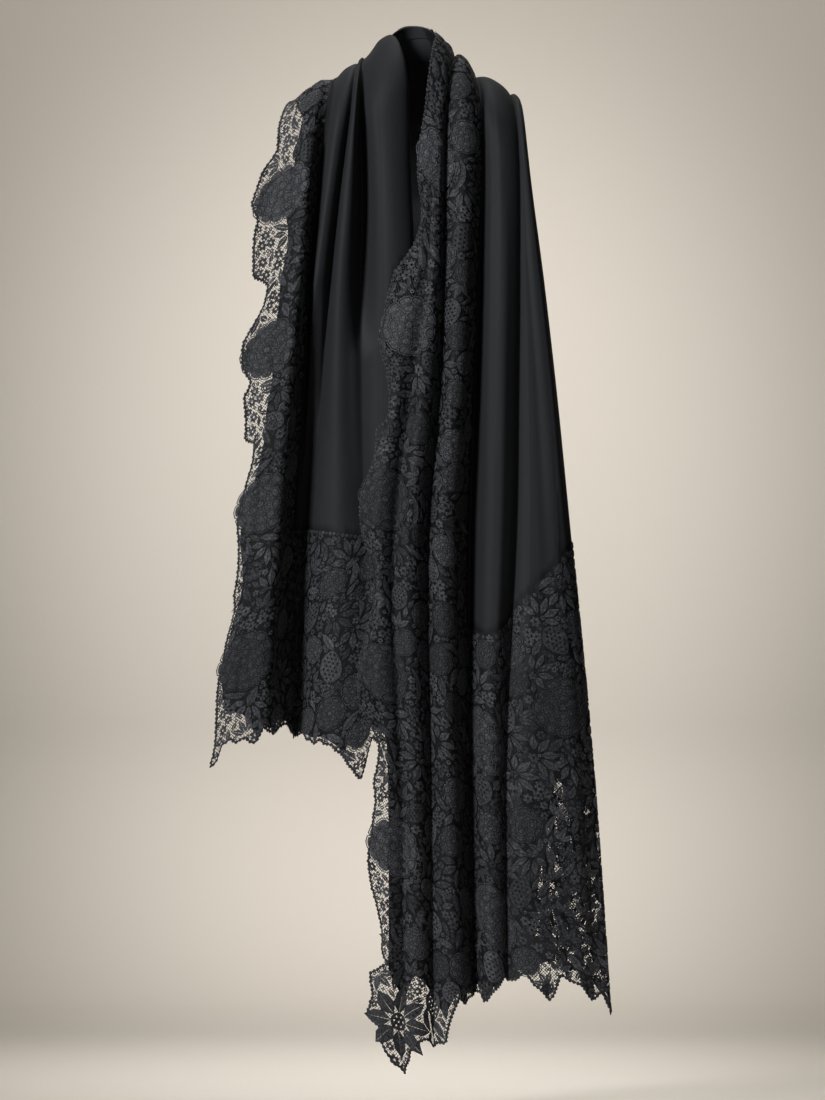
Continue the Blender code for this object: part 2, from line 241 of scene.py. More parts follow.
# %% A hanging end
class HangingEnd:
    """One hanging end of the shawl: a point for any way and any place between folds."""

    def __init__(self, folds, side, scallop):
        self.folds = folds
        self.side = side
        self.names = [fold.name for fold in folds]
        ways = np.arange(WAY_COUNT) * WAY_STEP
        self.lines = np.stack([fold_line(f, ways, scallop) for f in folds], axis=1)
        self.slopes = np.gradient(self.lines[:, :, 2:], axis=1)
        self.leave = np.radians([HEADINGS[f.kind][1] for f in folds])
        self.enter = np.radians([HEADINGS[f.kind][0] for f in folds])

    def place(self, name):
        """The number of a fold line."""
        return float(self.names.index(name))

    def hem(self, fold):
        """The way to the lace's hem at a place between folds."""
        return smooth_interp(fold, np.arange(len(self.folds)), [whole_way(f) for f in self.folds])

    def points(self, way, fold):
        """Points in mm at ways and at places between folds."""
        way, fold = np.broadcast_arrays(way, fold)
        row = np.clip(way / WAY_STEP, 0, WAY_COUNT - 1.001)
        low = row.astype(int)
        part = (row - low)[..., None]
        i = np.clip(fold.astype(int), 0, len(self.folds) - 2)
        t = (fold - i)[..., None]

        def read(table, column):
            return blend(table[low, column], table[low + 1, column], part)

        start, end = read(self.lines, i), read(self.lines, i + 1)
        chord = np.linalg.norm(end[..., :2] - start[..., :2], axis=-1)[..., None]
        leave, enter = self.leave[i], self.enter[i + 1]
        first = chord * xy(np.cos(leave), np.sin(leave))
        last = chord * xy(np.cos(enter), np.sin(enter))
        flat = hermite(start[..., :2], first, end[..., :2], last, t)
        slope_in, slope_out = read(self.slopes, i), read(self.slopes, i + 1)
        figure = hermite(start[..., 2:], slope_in, end[..., 2:], slope_out, t)
        lift = flat[..., 1] + small_creases(self, way, fold)
        return np.stack((self.side * flat[..., 0], figure[..., 0] + lift * figure[..., 2],
                         figure[..., 1] + lift * figure[..., 3]), axis=-1)


# %% [markdown]
# ## Small creases
#
# Between its main folds real wool keeps lesser ones: soft pulls that start at a shoulder and
# fade, and shallow troughs low down where the cloth swings free.  They could be simulated, but a
# few listed one by one, each with its own length, width and depth, look like what is really there.

# %% The crease table
Crease = namedtuple("Crease", "side fold drift spread start stop lift")
CREASES = table(
    Crease,
    ("long", 6.75, 0.10, 0.16, 60, 520, -1.8),
    ("long", 7.30, -0.15, 0.14, 180, 900, 1.6),
    ("long", 8.60, 0.20, 0.15, 120, 700, -1.7),
    ("long", 9.35, 0.25, 0.16, 90, 1150, 2.4),
    ("long", 9.60, 0.10, 0.12, 420, 1180, -2.0),
    ("long", 9.45, 0.05, 0.32, 520, 1500, -9.0),
    ("long", 10.45, 0.00, 0.25, 560, 1500, -5.0),
    ("long", 1.45, 0.30, 0.25, 500, 1200, 1.6),
    ("long", 4.65, 0.10, 0.20, 760, 1180, -3.0),
    ("long", 5.55, -0.10, 0.18, 700, 1150, -2.6),
    ("long", 7.60, 0.30, 0.14, 640, 1150, -2.2),
    ("long", 5.80, 0.00, 0.34, 150, 1500, -14.0),
    ("long", 6.26, 0.00, 0.26, 150, 1500, -10.0),
    ("short", 7.00, 0.00, 0.95, 300, 1300, -36.0),
    ("short", 6.05, 0.00, 0.30, 20, 480, -6.0),
    ("short", 4.10, -0.10, 0.40, 50, 400, -24.0),
    ("long", 2.00, 0.00, 0.60, 0, 480, 5.0),
    ("short", 4.45, -0.25, 0.22, 90, 560, 1.8),
    ("short", 3.55, 0.20, 0.30, 260, 760, -2.0),
    ("short", 5.40, 0.10, 0.25, 420, 900, -1.6),
    ("short", 8.60, 0.20, 0.16, 260, 820, 2.0),
    ("short", 9.40, -0.15, 0.18, 120, 620, -1.8),
)


def small_creases(end, way, fold):
    """How far the small creases lift the cloth at a point of a hanging end."""
    side = "long" if end.side > 0 else "short"
    total = np.zeros(np.shape(way))
    for crease in CREASES:
        if crease.side == side:
            along = np.clip((way - crease.start) / (crease.stop - crease.start), 0.0, 1.0)
            centre = crease.fold + crease.drift * along
            across = np.exp(-(((fold - centre) / crease.spread) ** 2))
            total += crease.lift * across * np.sin(math.pi * along) ** 0.7
    return total


long_end = HangingEnd(LONG_SIDE, 1, LONG_SCALLOP)
short_end = HangingEnd(SHORT_SIDE, -1, SHORT_SCALLOP)
print("long end's ways:", long_end.hem(np.arange(13)).round())
print("short end's ways:", short_end.hem(np.arange(12)).round())

# %% [markdown]
# ## The back
#
# Behind the neck the cloth is a swag between the two ridges: round at the collar, and sagging in
# a low curve at its lower edge.  Its points depend on a turn, from the left ridge at 0 to the
# right ridge at half a circle, and on a share of the width from the collar down.

# %% The swag as a function
DENSE = 16


def lengths(points):
    """The way gone along rows of points, in mm."""
    steps = np.linalg.norm(np.diff(points, axis=-2), axis=-1)
    start = np.zeros(steps.shape[:-1] + (1,))
    return np.concatenate((start, np.cumsum(steps, axis=-1)), axis=-1)


def interp_points(at, places, points):
    """Points at places along a row of points."""
    return np.stack([np.interp(at, places, column) for column in points.T], axis=-1)


def ridge_curve(end, first):
    """The ridge from a fold line outward: its points and the share of its length at each."""
    fold = np.arange(first * DENSE, (len(end.folds) - 1) * DENSE + 1) / DENSE
    points = end.points(0.0, fold)
    gone = lengths(points)
    return fold, points, gone / gone[-1]


left_fold, left_ridge, left_share = ridge_curve(short_end, 2)
right_fold, right_ridge, right_share = ridge_curve(long_end, 0)


def back_points(turn, share):
    """Points of the swag at turns and shares."""
    turn, share = np.broadcast_arrays(turn, share)
    left = interp_points(share, left_share, left_ridge)
    right = interp_points(share, right_share, right_ridge)
    ridge = np.where((turn <= 0.5 * math.pi)[..., None], left, right)
    shares, depths, heights = zip(*BACK_CENTRE)
    depth = smooth_interp(share, shares, depths)
    height = smooth_interp(share, shares, heights)
    fold = sum(f.lift * np.exp(-(((share - f.share) / f.spread) ** 2)) for f in BACK_FOLDS)
    near = np.abs(np.cos(turn))
    sag = 1.0 - near ** SWAG_ROUNDNESS
    return np.stack((ridge[..., 0] * near,
                     ridge[..., 1] * near * near + (depth + fold * sag) * np.sin(turn),
                     ridge[..., 2] * (1.0 - sag) + height * sag), axis=-1)


def grid_normals(grid):
    """Outward unit normals of a grid of points: rows go along, and columns across."""
    normals = np.cross(np.gradient(grid, axis=0), np.gradient(grid, axis=1))
    return normals / np.maximum(np.linalg.norm(normals, axis=-1, keepdims=True), 1e-9)

# %% [markdown]
# ## The wool
#
# The wool is one length of cloth, so it is one shell here, from the hem of the short end, over the
# left shoulder, round the nape and down to the hem of the long end.  A Solidify modifier could
# give it its thickness, but at the sharp turned edges plain arrays hold the wall better.  Its
# columns run with the cloth's length.  A few of them are the strip that is turned under at the
# neck.  The wool stops short of the lace's edges, so only lace hangs there.

# %% Where the wool ends
CLOTH_WALL = 0.9
TUCK_COLUMNS = 10
MAIN_COLUMNS = 148
SHORT_ROWS = 92
BACK_ROWS = 72
LONG_ROWS = 140
ROW_CROWDING = 1.12
MARGIN_FROM = 500.0
MARGIN_GROWTH = 70.0
BACK_CLOTH_SHARE = 0.95
HEM_WIDTH = 7.0
HEM_GAP = 1.6
NAPE_TUCK = 26.0

# How far below its even line each hem hangs, in mm, at places between the fold lines.
LONG_HEM = (
    (0.0, 6), (0.8, 0), (1.55, 3), (2.09, 12), (2.48, -1), (3.0, -5), (3.7, -4), (4.2, 10),
    (4.63, 24), (4.85, 6), (5.2, -10), (5.4, 6), (5.6, -3), (5.88, 3), (6.2, -5), (6.68, 14),
    (7.2, 0), (7.69, -3), (8.1, 2), (8.32, -12), (8.5, 8), (8.62, 16), (8.74, -14), (8.96, -4),
    (9.2, 5), (9.4, -2), (9.64, -16), (9.85, 9), (10.2, -10), (10.5, -30), (11.0, -34),
    (11.5, -40), (12.0, -34),
)
SHORT_HEM = (
    (2.0, -8), (2.6, -4), (3.1, -16), (3.34, -22), (3.61, -7), (3.98, 6), (4.4, -2), (4.93, -4),
    (5.4, -9), (5.81, -2), (6.5, -8), (7.0, -3), (7.12, 6), (7.25, -8), (7.37, -4), (7.9, -8),
    (8.32, -11), (8.43, -2), (8.7, -7), (8.9, -13), (9.02, 4), (9.5, -4), (9.9, -4), (10.4, -9),
    (10.8, -15), (11.0, 6),
)
# How far the wool's hem stays above the lace's, in mm, at places between the fold lines.
LONG_RISE = (
    (0.0, 102), (1.0, 98), (2.0, 90), (2.8, 82), (3.4, 68), (4.2, 50), (4.9, 14), (5.3, 4),
    (7.4, 5), (7.9, 12), (8.2, 7), (8.40, 20), (8.52, 150), (8.62, 238), (8.95, 226), (9.03, 96),
    (9.12, 70), (9.20, 214), (9.50, 240), (9.58, 110), (9.68, 84), (9.78, 236), (10.3, 254),
    (11.0, 240), (11.5, 236), (12.0, 215),
)
SHORT_RISE = (
    (0.0, 10), (3.3, 10), (3.55, 44), (4.4, 44), (4.7, 5), (6.0, 3), (9.0, 4), (9.4, 30),
    (10.0, 40), (10.6, 52), (11.0, 58),
)


def smooth_step(x):
    x = np.clip(x, 0.0, 1.0)
    return x * x * (3 - 2 * x)


def even_folds(end, first, last, way):
    """Places between two fold lines that are evenly spaced by length at one way."""
    fold = np.linspace(first, last, 400)
    gone = lengths(end.points(way, fold))
    return np.interp(np.linspace(0.0, gone[-1], MAIN_COLUMNS + 1), gone, fold)


def wool_way(end, fold, hem, rise):
    """The way to the wool's own hem."""
    return end.hem(fold) + read_table(fold, hem) - read_table(fold, rise)


# %% The wool's grid of points
def wool_grid():
    """Rows from hem to hem and columns from the upper edge to the lower, in mm."""
    short_main = even_folds(short_end, 2.0, 10.0, 420.0)
    long_main = even_folds(long_end, 1.0, 11.5, 620.0)
    short_tuck = np.linspace(0.0, 2.0, TUCK_COLUMNS + 1)[:-1]

    share = np.linspace(0.0, 1.0, SHORT_ROWS + 1)[::-1, None] ** ROW_CROWDING
    fold = np.concatenate((short_tuck, short_main))
    way = share * wool_way(short_end, fold, SHORT_HEM, SHORT_RISE)
    # Low down, the outer edge of the wool runs unevenly into the see-through lace.
    reach = 0.68 * smooth_step((way - MARGIN_FROM) / MARGIN_GROWTH)
    uneven = 0.15 * np.sin(way / 17.0) * np.sin(way / 47.0)
    short = short_end.points(way, fold + (reach + uneven) * smooth_step(fold - 9.0))

    turn = np.linspace(0.0, math.pi, BACK_ROWS + 1)[1:-1, None]
    start = np.interp(short_main, left_fold, left_share)
    stop = np.interp(long_main, right_fold, right_share)
    share = blend(start, stop, smooth_step(turn / math.pi))
    widen = BACK_CLOTH_SHARE / share[:, -1:] - 1.0
    share = share * (1.0 + widen * np.sin(turn) ** 0.6)
    inward = np.linspace(1.0, 0.0, MAIN_COLUMNS + 1)
    share = share - (share[:, :1] - 0.004) * inward * smooth_step(3.0 * np.sin(turn))
    back = back_points(turn, share)

    share = np.linspace(0.0, 1.0, LONG_ROWS + 1)[:, None] ** ROW_CROWDING
    long = long_end.points(share * wool_way(long_end, long_main, LONG_HEM, LONG_RISE), long_main)
    main = np.concatenate((short[:, TUCK_COLUMNS:], back, long))
    return np.concatenate((tucked_strip(short, main), main), axis=1)


def tucked_strip(short, main):
    """The strip turned under at the neck, which narrows to a plain hem on the long end."""
    rows = len(main)
    strip = np.zeros((rows, TUCK_COLUMNS, 3))
    strip[: SHORT_ROWS + 1] = short[:, :TUCK_COLUMNS]
    normals = grid_normals(main)
    gone = lengths(main)
    ridge_shape = short[SHORT_ROWS, :TUCK_COLUMNS] - short[SHORT_ROWS, TUCK_COLUMNS]
    away = 1.0 - np.arange(TUCK_COLUMNS) / TUCK_COLUMNS
    for row in range(SHORT_ROWS + 1, rows):
        past = (row - SHORT_ROWS) / BACK_ROWS
        width = HEM_WIDTH + (NAPE_TUCK - HEM_WIDTH) * max(0.0, 1.0 - past)
        under = np.minimum(away * width, 0.25 * gone[row, -1])
        layer = interp_points(under, gone[row], main[row])
        drop = HEM_GAP * np.sqrt(np.clip(1.0 - (1.0 - np.minimum(under, 2.0) / 2.0) ** 2, 0, 1))
        layer = layer - normals[row, 4] * drop[:, None]
        keep = 1.0 - smooth_step(past / 0.33)
        strip[row] = blend(layer, main[row, 0] + ridge_shape, keep)
    return strip


wool_points = wool_grid()
print("wool grid:", wool_points.shape, "with the way from hem to hem at the neck",
      round(float(lengths(wool_points[:, 0])[-1])), "mm")


# %% Meshes from grids
def new_piece(name, points, faces, material=None):
    """An object at the origin from points in mm."""
    mesh = bpy.data.meshes.new(name)
    mesh.from_pydata((np.asarray(points) * MM).tolist(), [], faces)
    mesh.validate()
    mesh.shade_smooth()
    piece = bpy.data.objects.new(name, mesh)
    bpy.context.collection.objects.link(piece)
    if material:
        mesh.materials.append(material)
    return piece


def grid_faces(rows, columns, first=0, flip=False):
    """Quads over a grid whose points are numbered row by row."""
    r, c = np.meshgrid(np.arange(rows - 1), np.arange(columns - 1), indexing="ij")
    a = (first + r * columns + c).ravel()
    faces = np.stack((a, a + columns, a + columns + 1, a + 1), axis=1)
    return faces[:, ::-1] if flip else faces


def shell(name, grid, wall, material):
    """A closed thin wall with its outer face on the grid."""
    rows, columns = grid.shape[:2]
    inner = grid - grid_normals(grid) * wall
    count = rows * columns
    rim = np.concatenate((np.arange(columns), np.arange(1, rows) * columns + columns - 1,
                          count - 2 - np.arange(columns - 1),
                          (rows - 2 - np.arange(rows - 1)) * columns))[:-1]
    after = np.roll(rim, -1)
    edge = np.stack((rim, after, after + count, rim + count), axis=1)
    faces = np.concatenate((grid_faces(rows, columns),
                            grid_faces(rows, columns, count, flip=True), edge))
    return new_piece(name, np.concatenate((grid.reshape(-1, 3), inner.reshape(-1, 3))),
                     faces.tolist(), material)


# %% [markdown]
# ## Materials
#
# A material starts from what the real one is.  The wool is a fine worsted twill, dyed black: it
# gives a soft, almost matt dark grey, with a faint slant of twill lines and a little sheen where
# the nap catches the light.  Colours are written as the hex values a screen shows, and one
# function turns them into the linear values that the shader needs.

# %% Colours and nodes
def linear(colour):
    """A linear RGBA colour from an sRGB hex string."""
    values = [int(colour[i : i + 2], 16) / 255 for i in (0, 2, 4)]
    return (*[v / 12.92 if v <= 0.04045 else ((v + 0.055) / 1.055) ** 2.4 for v in values], 1.0)


def set_inputs(tree, node, inputs):
    """Gives inputs their values, or links: to a socket, or to the first output of a node."""
    for name, value in inputs.items():
        if isinstance(value, bpy.types.Node):
            value = value.outputs[0]
        if isinstance(value, bpy.types.NodeSocket):
            tree.links.new(value, node.inputs[name])
        else:
            node.inputs[name].default_value = value


def add_node(tree, kind, inputs=None, **settings):
    """A node with its settings, and with values or links for its inputs."""
    node = tree.nodes.new(kind)
    for name, value in settings.items():
        setattr(node, name, value)
    set_inputs(tree, node, inputs or {})
    return node


def new_material(name):
    material = bpy.data.materials.new(name)
    material.use_nodes = True
    return material, material.node_tree, material.node_tree.nodes["Principled BSDF"]


# %% Worsted wool twill, black
TWILL_PITCH = 0.0016
WAVE_PERIOD = 0.314


def wool_material():
    material, tree, shader = new_material("black_wool_twill")
    place = add_node(tree, "ShaderNodeUVMap", uv_map="cloth")
    slant = add_node(tree, "ShaderNodeMapping",
                     {"Vector": place, "Rotation": (0.0, 0.0, math.radians(52))})
    # Real twill lines are 0.5 mm apart.  They are drawn at 1.6 mm, so that they show at all.
    twill = add_node(tree, "ShaderNodeTexWave",
                     {"Vector": slant, "Scale": WAVE_PERIOD / TWILL_PITCH, "Distortion": 0.6,
                      "Detail": 1.0, "Detail Scale": 1.2})
    along = add_node(tree, "ShaderNodeMapping", {"Vector": place, "Scale": (1500, 90, 1)})
    yarns = add_node(tree, "ShaderNodeTexNoise", {"Vector": along, "Scale": 1.0, "Detail": 3.0})
    cloud = add_node(tree, "ShaderNodeTexNoise",
                     {"Vector": place, "Scale": 14.0, "Detail": 3.0, "Roughness": 0.6})
    shade = add_node(tree, "ShaderNodeMixRGB",
                     {"Fac": cloud, "Color1": linear("26272A"), "Color2": linear("303236")})
    light = add_node(tree, "ShaderNodeMixRGB",
                     {"Fac": yarns, "Color1": linear("202124"), "Color2": linear("3A3C40")})
    colour = add_node(tree, "ShaderNodeMixRGB", {"Fac": 0.45, "Color1": shade, "Color2": light})
    # Painted shade: under the lace the wool is drawn darker, on top of the real shadow that the net
    # casts.
    lace_shade = add_node(tree, "ShaderNodeAttribute", attribute_name="under_lace").outputs["Fac"]
    shaded = add_node(tree, "ShaderNodeMixRGB",
                      {"Fac": lace_shade, "Color1": colour, "Color2": linear("191A1C")})
    bump = add_node(tree, "ShaderNodeBump",
                    {"Strength": 0.35, "Distance": 0.00025, "Height": twill.outputs["Fac"]})
    set_inputs(tree, shader, {"Base Color": shaded, "Normal": bump, "Roughness": 0.62,
                              "Specular IOR Level": 0.22, "Sheen Weight": 0.08,
                              "Sheen Roughness": 0.45, "Sheen Tint": linear("8A8C92")})
    return material


shawl = shell("wool_shawl", wool_points, CLOTH_WALL, wool_material())
print("wool shawl:", len(shawl.data.polygons), "faces")

# %% [markdown]
# ## Lace thread and net
#
# The lace is dyed cotton.  Its flowers are packed close with dull thread, so light goes into them
# and they show a mottled dark grey, with darker seams where the needle went in.  The ground
# between them is a diamond net, which is more holes than thread.  The holes are drawn by the
# material's alpha, because tens of thousands of them would be too many faces.

# %% Lace thread, black
CLUSTER = 0.0042


def lace_thread():
    """Dyed cotton, packed close and dull, and pricked all over with pin holes."""
    material, tree, shader = new_material("black_lace_thread")
    place = add_node(tree, "ShaderNodeTexCoord").outputs["Object"]
    tone = add_node(tree, "ShaderNodeAttribute", attribute_name="tone").outputs["Fac"]
    shade = add_node(tree, "ShaderNodeMixRGB",
                     {"Fac": tone, "Color1": linear("414348"), "Color2": linear("606268")})
    # Clusters of stitches are 1.5 mm wide.  They are drawn near 4 mm, so that they mottle the
    # flowers: each cluster has its own tone, and pin holes darken the seams between them.
    clusters = {"Vector": place, "Scale": 1.0 / CLUSTER}
    own = add_node(tree, "ShaderNodeTexVoronoi", clusters).outputs["Color"]
    seam = add_node(tree, "ShaderNodeTexVoronoi", clusters, feature="DISTANCE_TO_EDGE")
    mottle = add_node(tree, "ShaderNodeSeparateColor", {"Color": own})
    bright = add_node(tree, "ShaderNodeMapRange", {"Value": mottle, "To Min": 0.72, "To Max": 1.10})
    pricked = add_node(tree, "ShaderNodeMapRange",
                       {"Value": seam.outputs["Distance"], "From Min": 0.02, "From Max": 0.16,
                        "To Min": 0.42, "To Max": 1.0})
    texture = add_node(tree, "ShaderNodeMath", {0: bright, 1: pricked}, operation="MULTIPLY")
    grain = add_node(tree, "ShaderNodeMixRGB", {"Fac": 1.0, "Color1": shade, "Color2": texture},
                     blend_type="MULTIPLY")
    # Low stitches lie in the shade of the raised ones, so they are drawn darker.
    height = add_node(tree, "ShaderNodeAttribute", attribute_name="stitch").outputs["Fac"]
    raised = add_node(tree, "ShaderNodeMapRange",
                      {"Value": height, "From Min": 0.1, "From Max": 0.42})
    worked = add_node(tree, "ShaderNodeMixRGB",
                      {"Fac": raised, "Color1": linear("222327"), "Color2": grain})
    bump = add_node(tree, "ShaderNodeBump",
                    {"Strength": 0.4, "Distance": 0.0004, "Height": pricked})
    set_inputs(tree, shader, {"Base Color": worked, "Normal": bump, "Roughness": 0.62,
                              "Specular IOR Level": 0.2, "Sheen Weight": 0.08})
    return material


# %% Lace net, black
NET_PITCH = 0.0028
NET_THREAD = 0.19
CLOSE_THREAD = 0.22
CLOSE_WORKED = 0.495
PATCH = (0.012, 0.040)


def lace_net(name, thread_share, closed=0.0):
    """A diamond net of fine black thread, clear between its threads."""
    material, tree, shader = new_material(name)
    place = add_node(tree, "ShaderNodeUVMap", uv_map="net")
    # Handled net is never quite even, so its meshes are pulled about by half their width.
    pull = add_node(tree, "ShaderNodeTexNoise", {"Vector": place, "Scale": 90.0})
    pulled = add_node(tree, "ShaderNodeVectorMath",
                      {0: pull.outputs["Color"], 1: (NET_PITCH,) * 3, 2: place},
                      operation="MULTIPLY_ADD")
    slant = add_node(tree, "ShaderNodeMapping",
                     {"Vector": pulled, "Rotation": (0.0, 0.0, math.radians(45)),
                      "Scale": (1 / NET_PITCH, 1 / NET_PITCH, 1.0)})
    parts = add_node(tree, "ShaderNodeSeparateXYZ", {"Vector": slant}).outputs
    near = [add_node(tree, "ShaderNodeMath", {0: parts[axis], 1: 0.5}, operation="PINGPONG")
            for axis in ("X", "Y")]
    least = add_node(tree, "ShaderNodeMath", {0: near[0], 1: near[1]}, operation="MINIMUM")
    solid = add_node(tree, "ShaderNodeMath", {0: least, 1: 0.5 * thread_share},
                     operation="LESS_THAN")
    # The rest of some nets is worked close, in uneven patches that run with the pleats.
    along = add_node(tree, "ShaderNodeMapping",
                     {"Vector": place, "Scale": (1 / PATCH[0], 1 / PATCH[1], 1.0)})
    patches = add_node(tree, "ShaderNodeTexNoise", {"Vector": along, "Scale": 1.0, "Detail": 3.0})
    worked = add_node(tree, "ShaderNodeMath", {0: patches, 1: closed}, operation="LESS_THAN")
    thread = add_node(tree, "ShaderNodeMath", {0: solid, 1: worked}, operation="MAXIMUM")
    set_inputs(tree, shader, {"Alpha": thread, "Base Color": linear("24262A"), "Roughness": 0.6,
                              "Specular IOR Level": 0.3})
    return material


# %% [markdown]
# ## Charts for the lace
#
# Lace is designed flat and then sewn round, so each lace has a flat chart: x is the distance in mm
# from its free edge, and y is the length along it.  `lay` carries any flat shape to its place on
# the folded shawl.  Because x is a true length, the flowers keep their size where the pleats are
# gathered, and the lace just shows less of its width, as real lace does.

# %% A chart
class Chart:
    """The whole shawl seen from one free edge: rows go along the edge, and columns go inward."""

    def __init__(self, points, along, fold):
        self.points = points
        self.along = along
        self.fold = fold
        self.across = lengths(points)
        self.normals = -grid_normals(points)

    def row_at(self, y):
        row = np.interp(y, self.along, np.arange(len(self.along)))
        low = np.clip(row.astype(int), 0, len(self.along) - 2)
        return low, row - low

    def read_row(self, row, x):
        """Points and normals on whole rows, at distances x from the edge."""
        # Each row's distances are moved past those of the row before, so one search serves all.
        columns = self.across.shape[1]
        width = self.across.max() + 500.0
        keys = (self.across + np.arange(len(self.along))[:, None] * width).ravel()
        near = np.clip(x, 0.0, self.across[row, -1] - 0.01)
        i = np.searchsorted(keys, near + row * width, side="right") - 1
        i = np.clip(i, row * columns, row * columns + columns - 2)
        across = self.across.ravel()
        t = ((x - across[i]) / np.maximum(across[i + 1] - across[i], 1e-6))[:, None]
        flat, normals = self.points.reshape(-1, 3), self.normals.reshape(-1, 3)
        return (blend(flat[i], flat[i + 1], t),
                blend(normals[i], normals[i + 1], np.clip(t, 0.0, 1.0)))

    def lay(self, x, y, height):
        """Carries flat points to the shawl, lifted off it by a height."""
        low, part = self.row_at(y)
        part = part[:, None]
        point_a, normal_a = self.read_row(low, x)
        point_b, normal_b = self.read_row(low + 1, x)
        normal = blend(normal_a, normal_b, part)
        normal /= np.maximum(np.linalg.norm(normal, axis=1, keepdims=True), 1e-9)
        return blend(point_a, point_b, part) + normal * np.asarray(height)[:, None]

    def x_at(self, y, column):
        """The distance from the edge of one column, given by its number, along the lace."""
        low, part = self.row_at(y)
        column = np.broadcast_to(column, low.shape)
        i = np.clip(column.astype(int), 0, self.across.shape[1] - 2)
        ends = [blend(self.across[row, i], self.across[row, i + 1], column - i)
                for row in (low, low + 1)]
        return blend(*ends, part)


# %% The two charts
CHART_STEP = 4.0
LONG_REACH = 1300.0
SHORT_REACH = 950.0
COLLAR_COLUMN = 6


def make_charts():
    """The charts from the upper and the lower edge, their lengths, and the short side's columns."""
    fold = np.arange(0, 12 * DENSE + 1) / DENSE
    share = np.interp(fold, right_fold, right_share)
    short_fold = np.interp(share, left_share, left_fold)
    long_way = np.arange(LONG_REACH, 0.0, -CHART_STEP)
    short_way = np.arange(SHORT_REACH, 0.0, -CHART_STEP)
    long = long_end.points(long_way[:, None], fold)
    short = short_end.points(short_way[:, None], short_fold)
    back = back_points(np.linspace(0.0, math.pi, 121)[:, None], share)
    collar = lengths(back[::-1, COLLAR_COLUMN])
    swag = lengths(back[:, -1])
    upper = np.concatenate((long, back[::-1]))
    lower = np.concatenate((short, back, long[::-1]))[:, ::-1]
    lower_y = np.concatenate((-short_way, swag, swag[-1] + long_way[::-1]))
    return (Chart(upper, np.concatenate((-long_way, collar)), fold),
            Chart(lower, lower_y, fold[::-1]), float(collar[-1]), float(swag[-1]),
            np.interp(np.arange(2.0, 11.01, 1.0), short_fold, np.arange(len(fold))))


upper_chart, lower_chart, collar_length, swag_length, short_columns = make_charts()
print("collar", round(collar_length), "mm, swag's lower edge", round(swag_length), "mm")


def short_column(name):
    """The column of a short side's fold line in the lower chart."""
    return len(lower_chart.fold) - 1 - short_columns[int(short_end.place(name)) - 2]


# %% [markdown]
# ## The worked motifs
#
# Machine-made floral lace is a net with solid shapes worked on it: round roses in rings of
# outlined petals, plump fruits pierced with rows of eyelets, pointed leaves split by a vein, and
# chains of small starry blossoms.  They could be painted on the net as a texture.  Here each kind
# is a small closed solid of a few dozen faces, so the lace has real relief and real holes.

# %% Loops of points
def inside(points, loop):
    """Which points lie inside a loop."""
    x, y = np.asarray(points).T
    loop = np.asarray(loop)
    found = np.zeros(len(x), bool)
    for (ax, ay), (bx, by) in zip(loop, np.roll(loop, -1, axis=0)):
        crosses = (ay > y) != (by > y)
        with np.errstate(divide="ignore", invalid="ignore"):
            at = (bx - ax) * (y - ay) / (by - ay) + ax
        found ^= crosses & (x < at)
    return found


def round_turns(count):
    return 2 * math.pi * np.arange(count) / count


def circle(radius, count, x=0.0, y=0.0, start=0.0):
    turn = start + round_turns(count)
    return xy(x + radius * np.cos(turn), y + radius * np.sin(turn))


def turned(points, turn):
    c, s = math.cos(turn), math.sin(turn)
    x, y = np.asarray(points).T
    return xy(x * c - y * s, x * s + y * c)


# %% A motif and its building blocks
RAISE = 0.6
EDGE_HEIGHT = 0.45


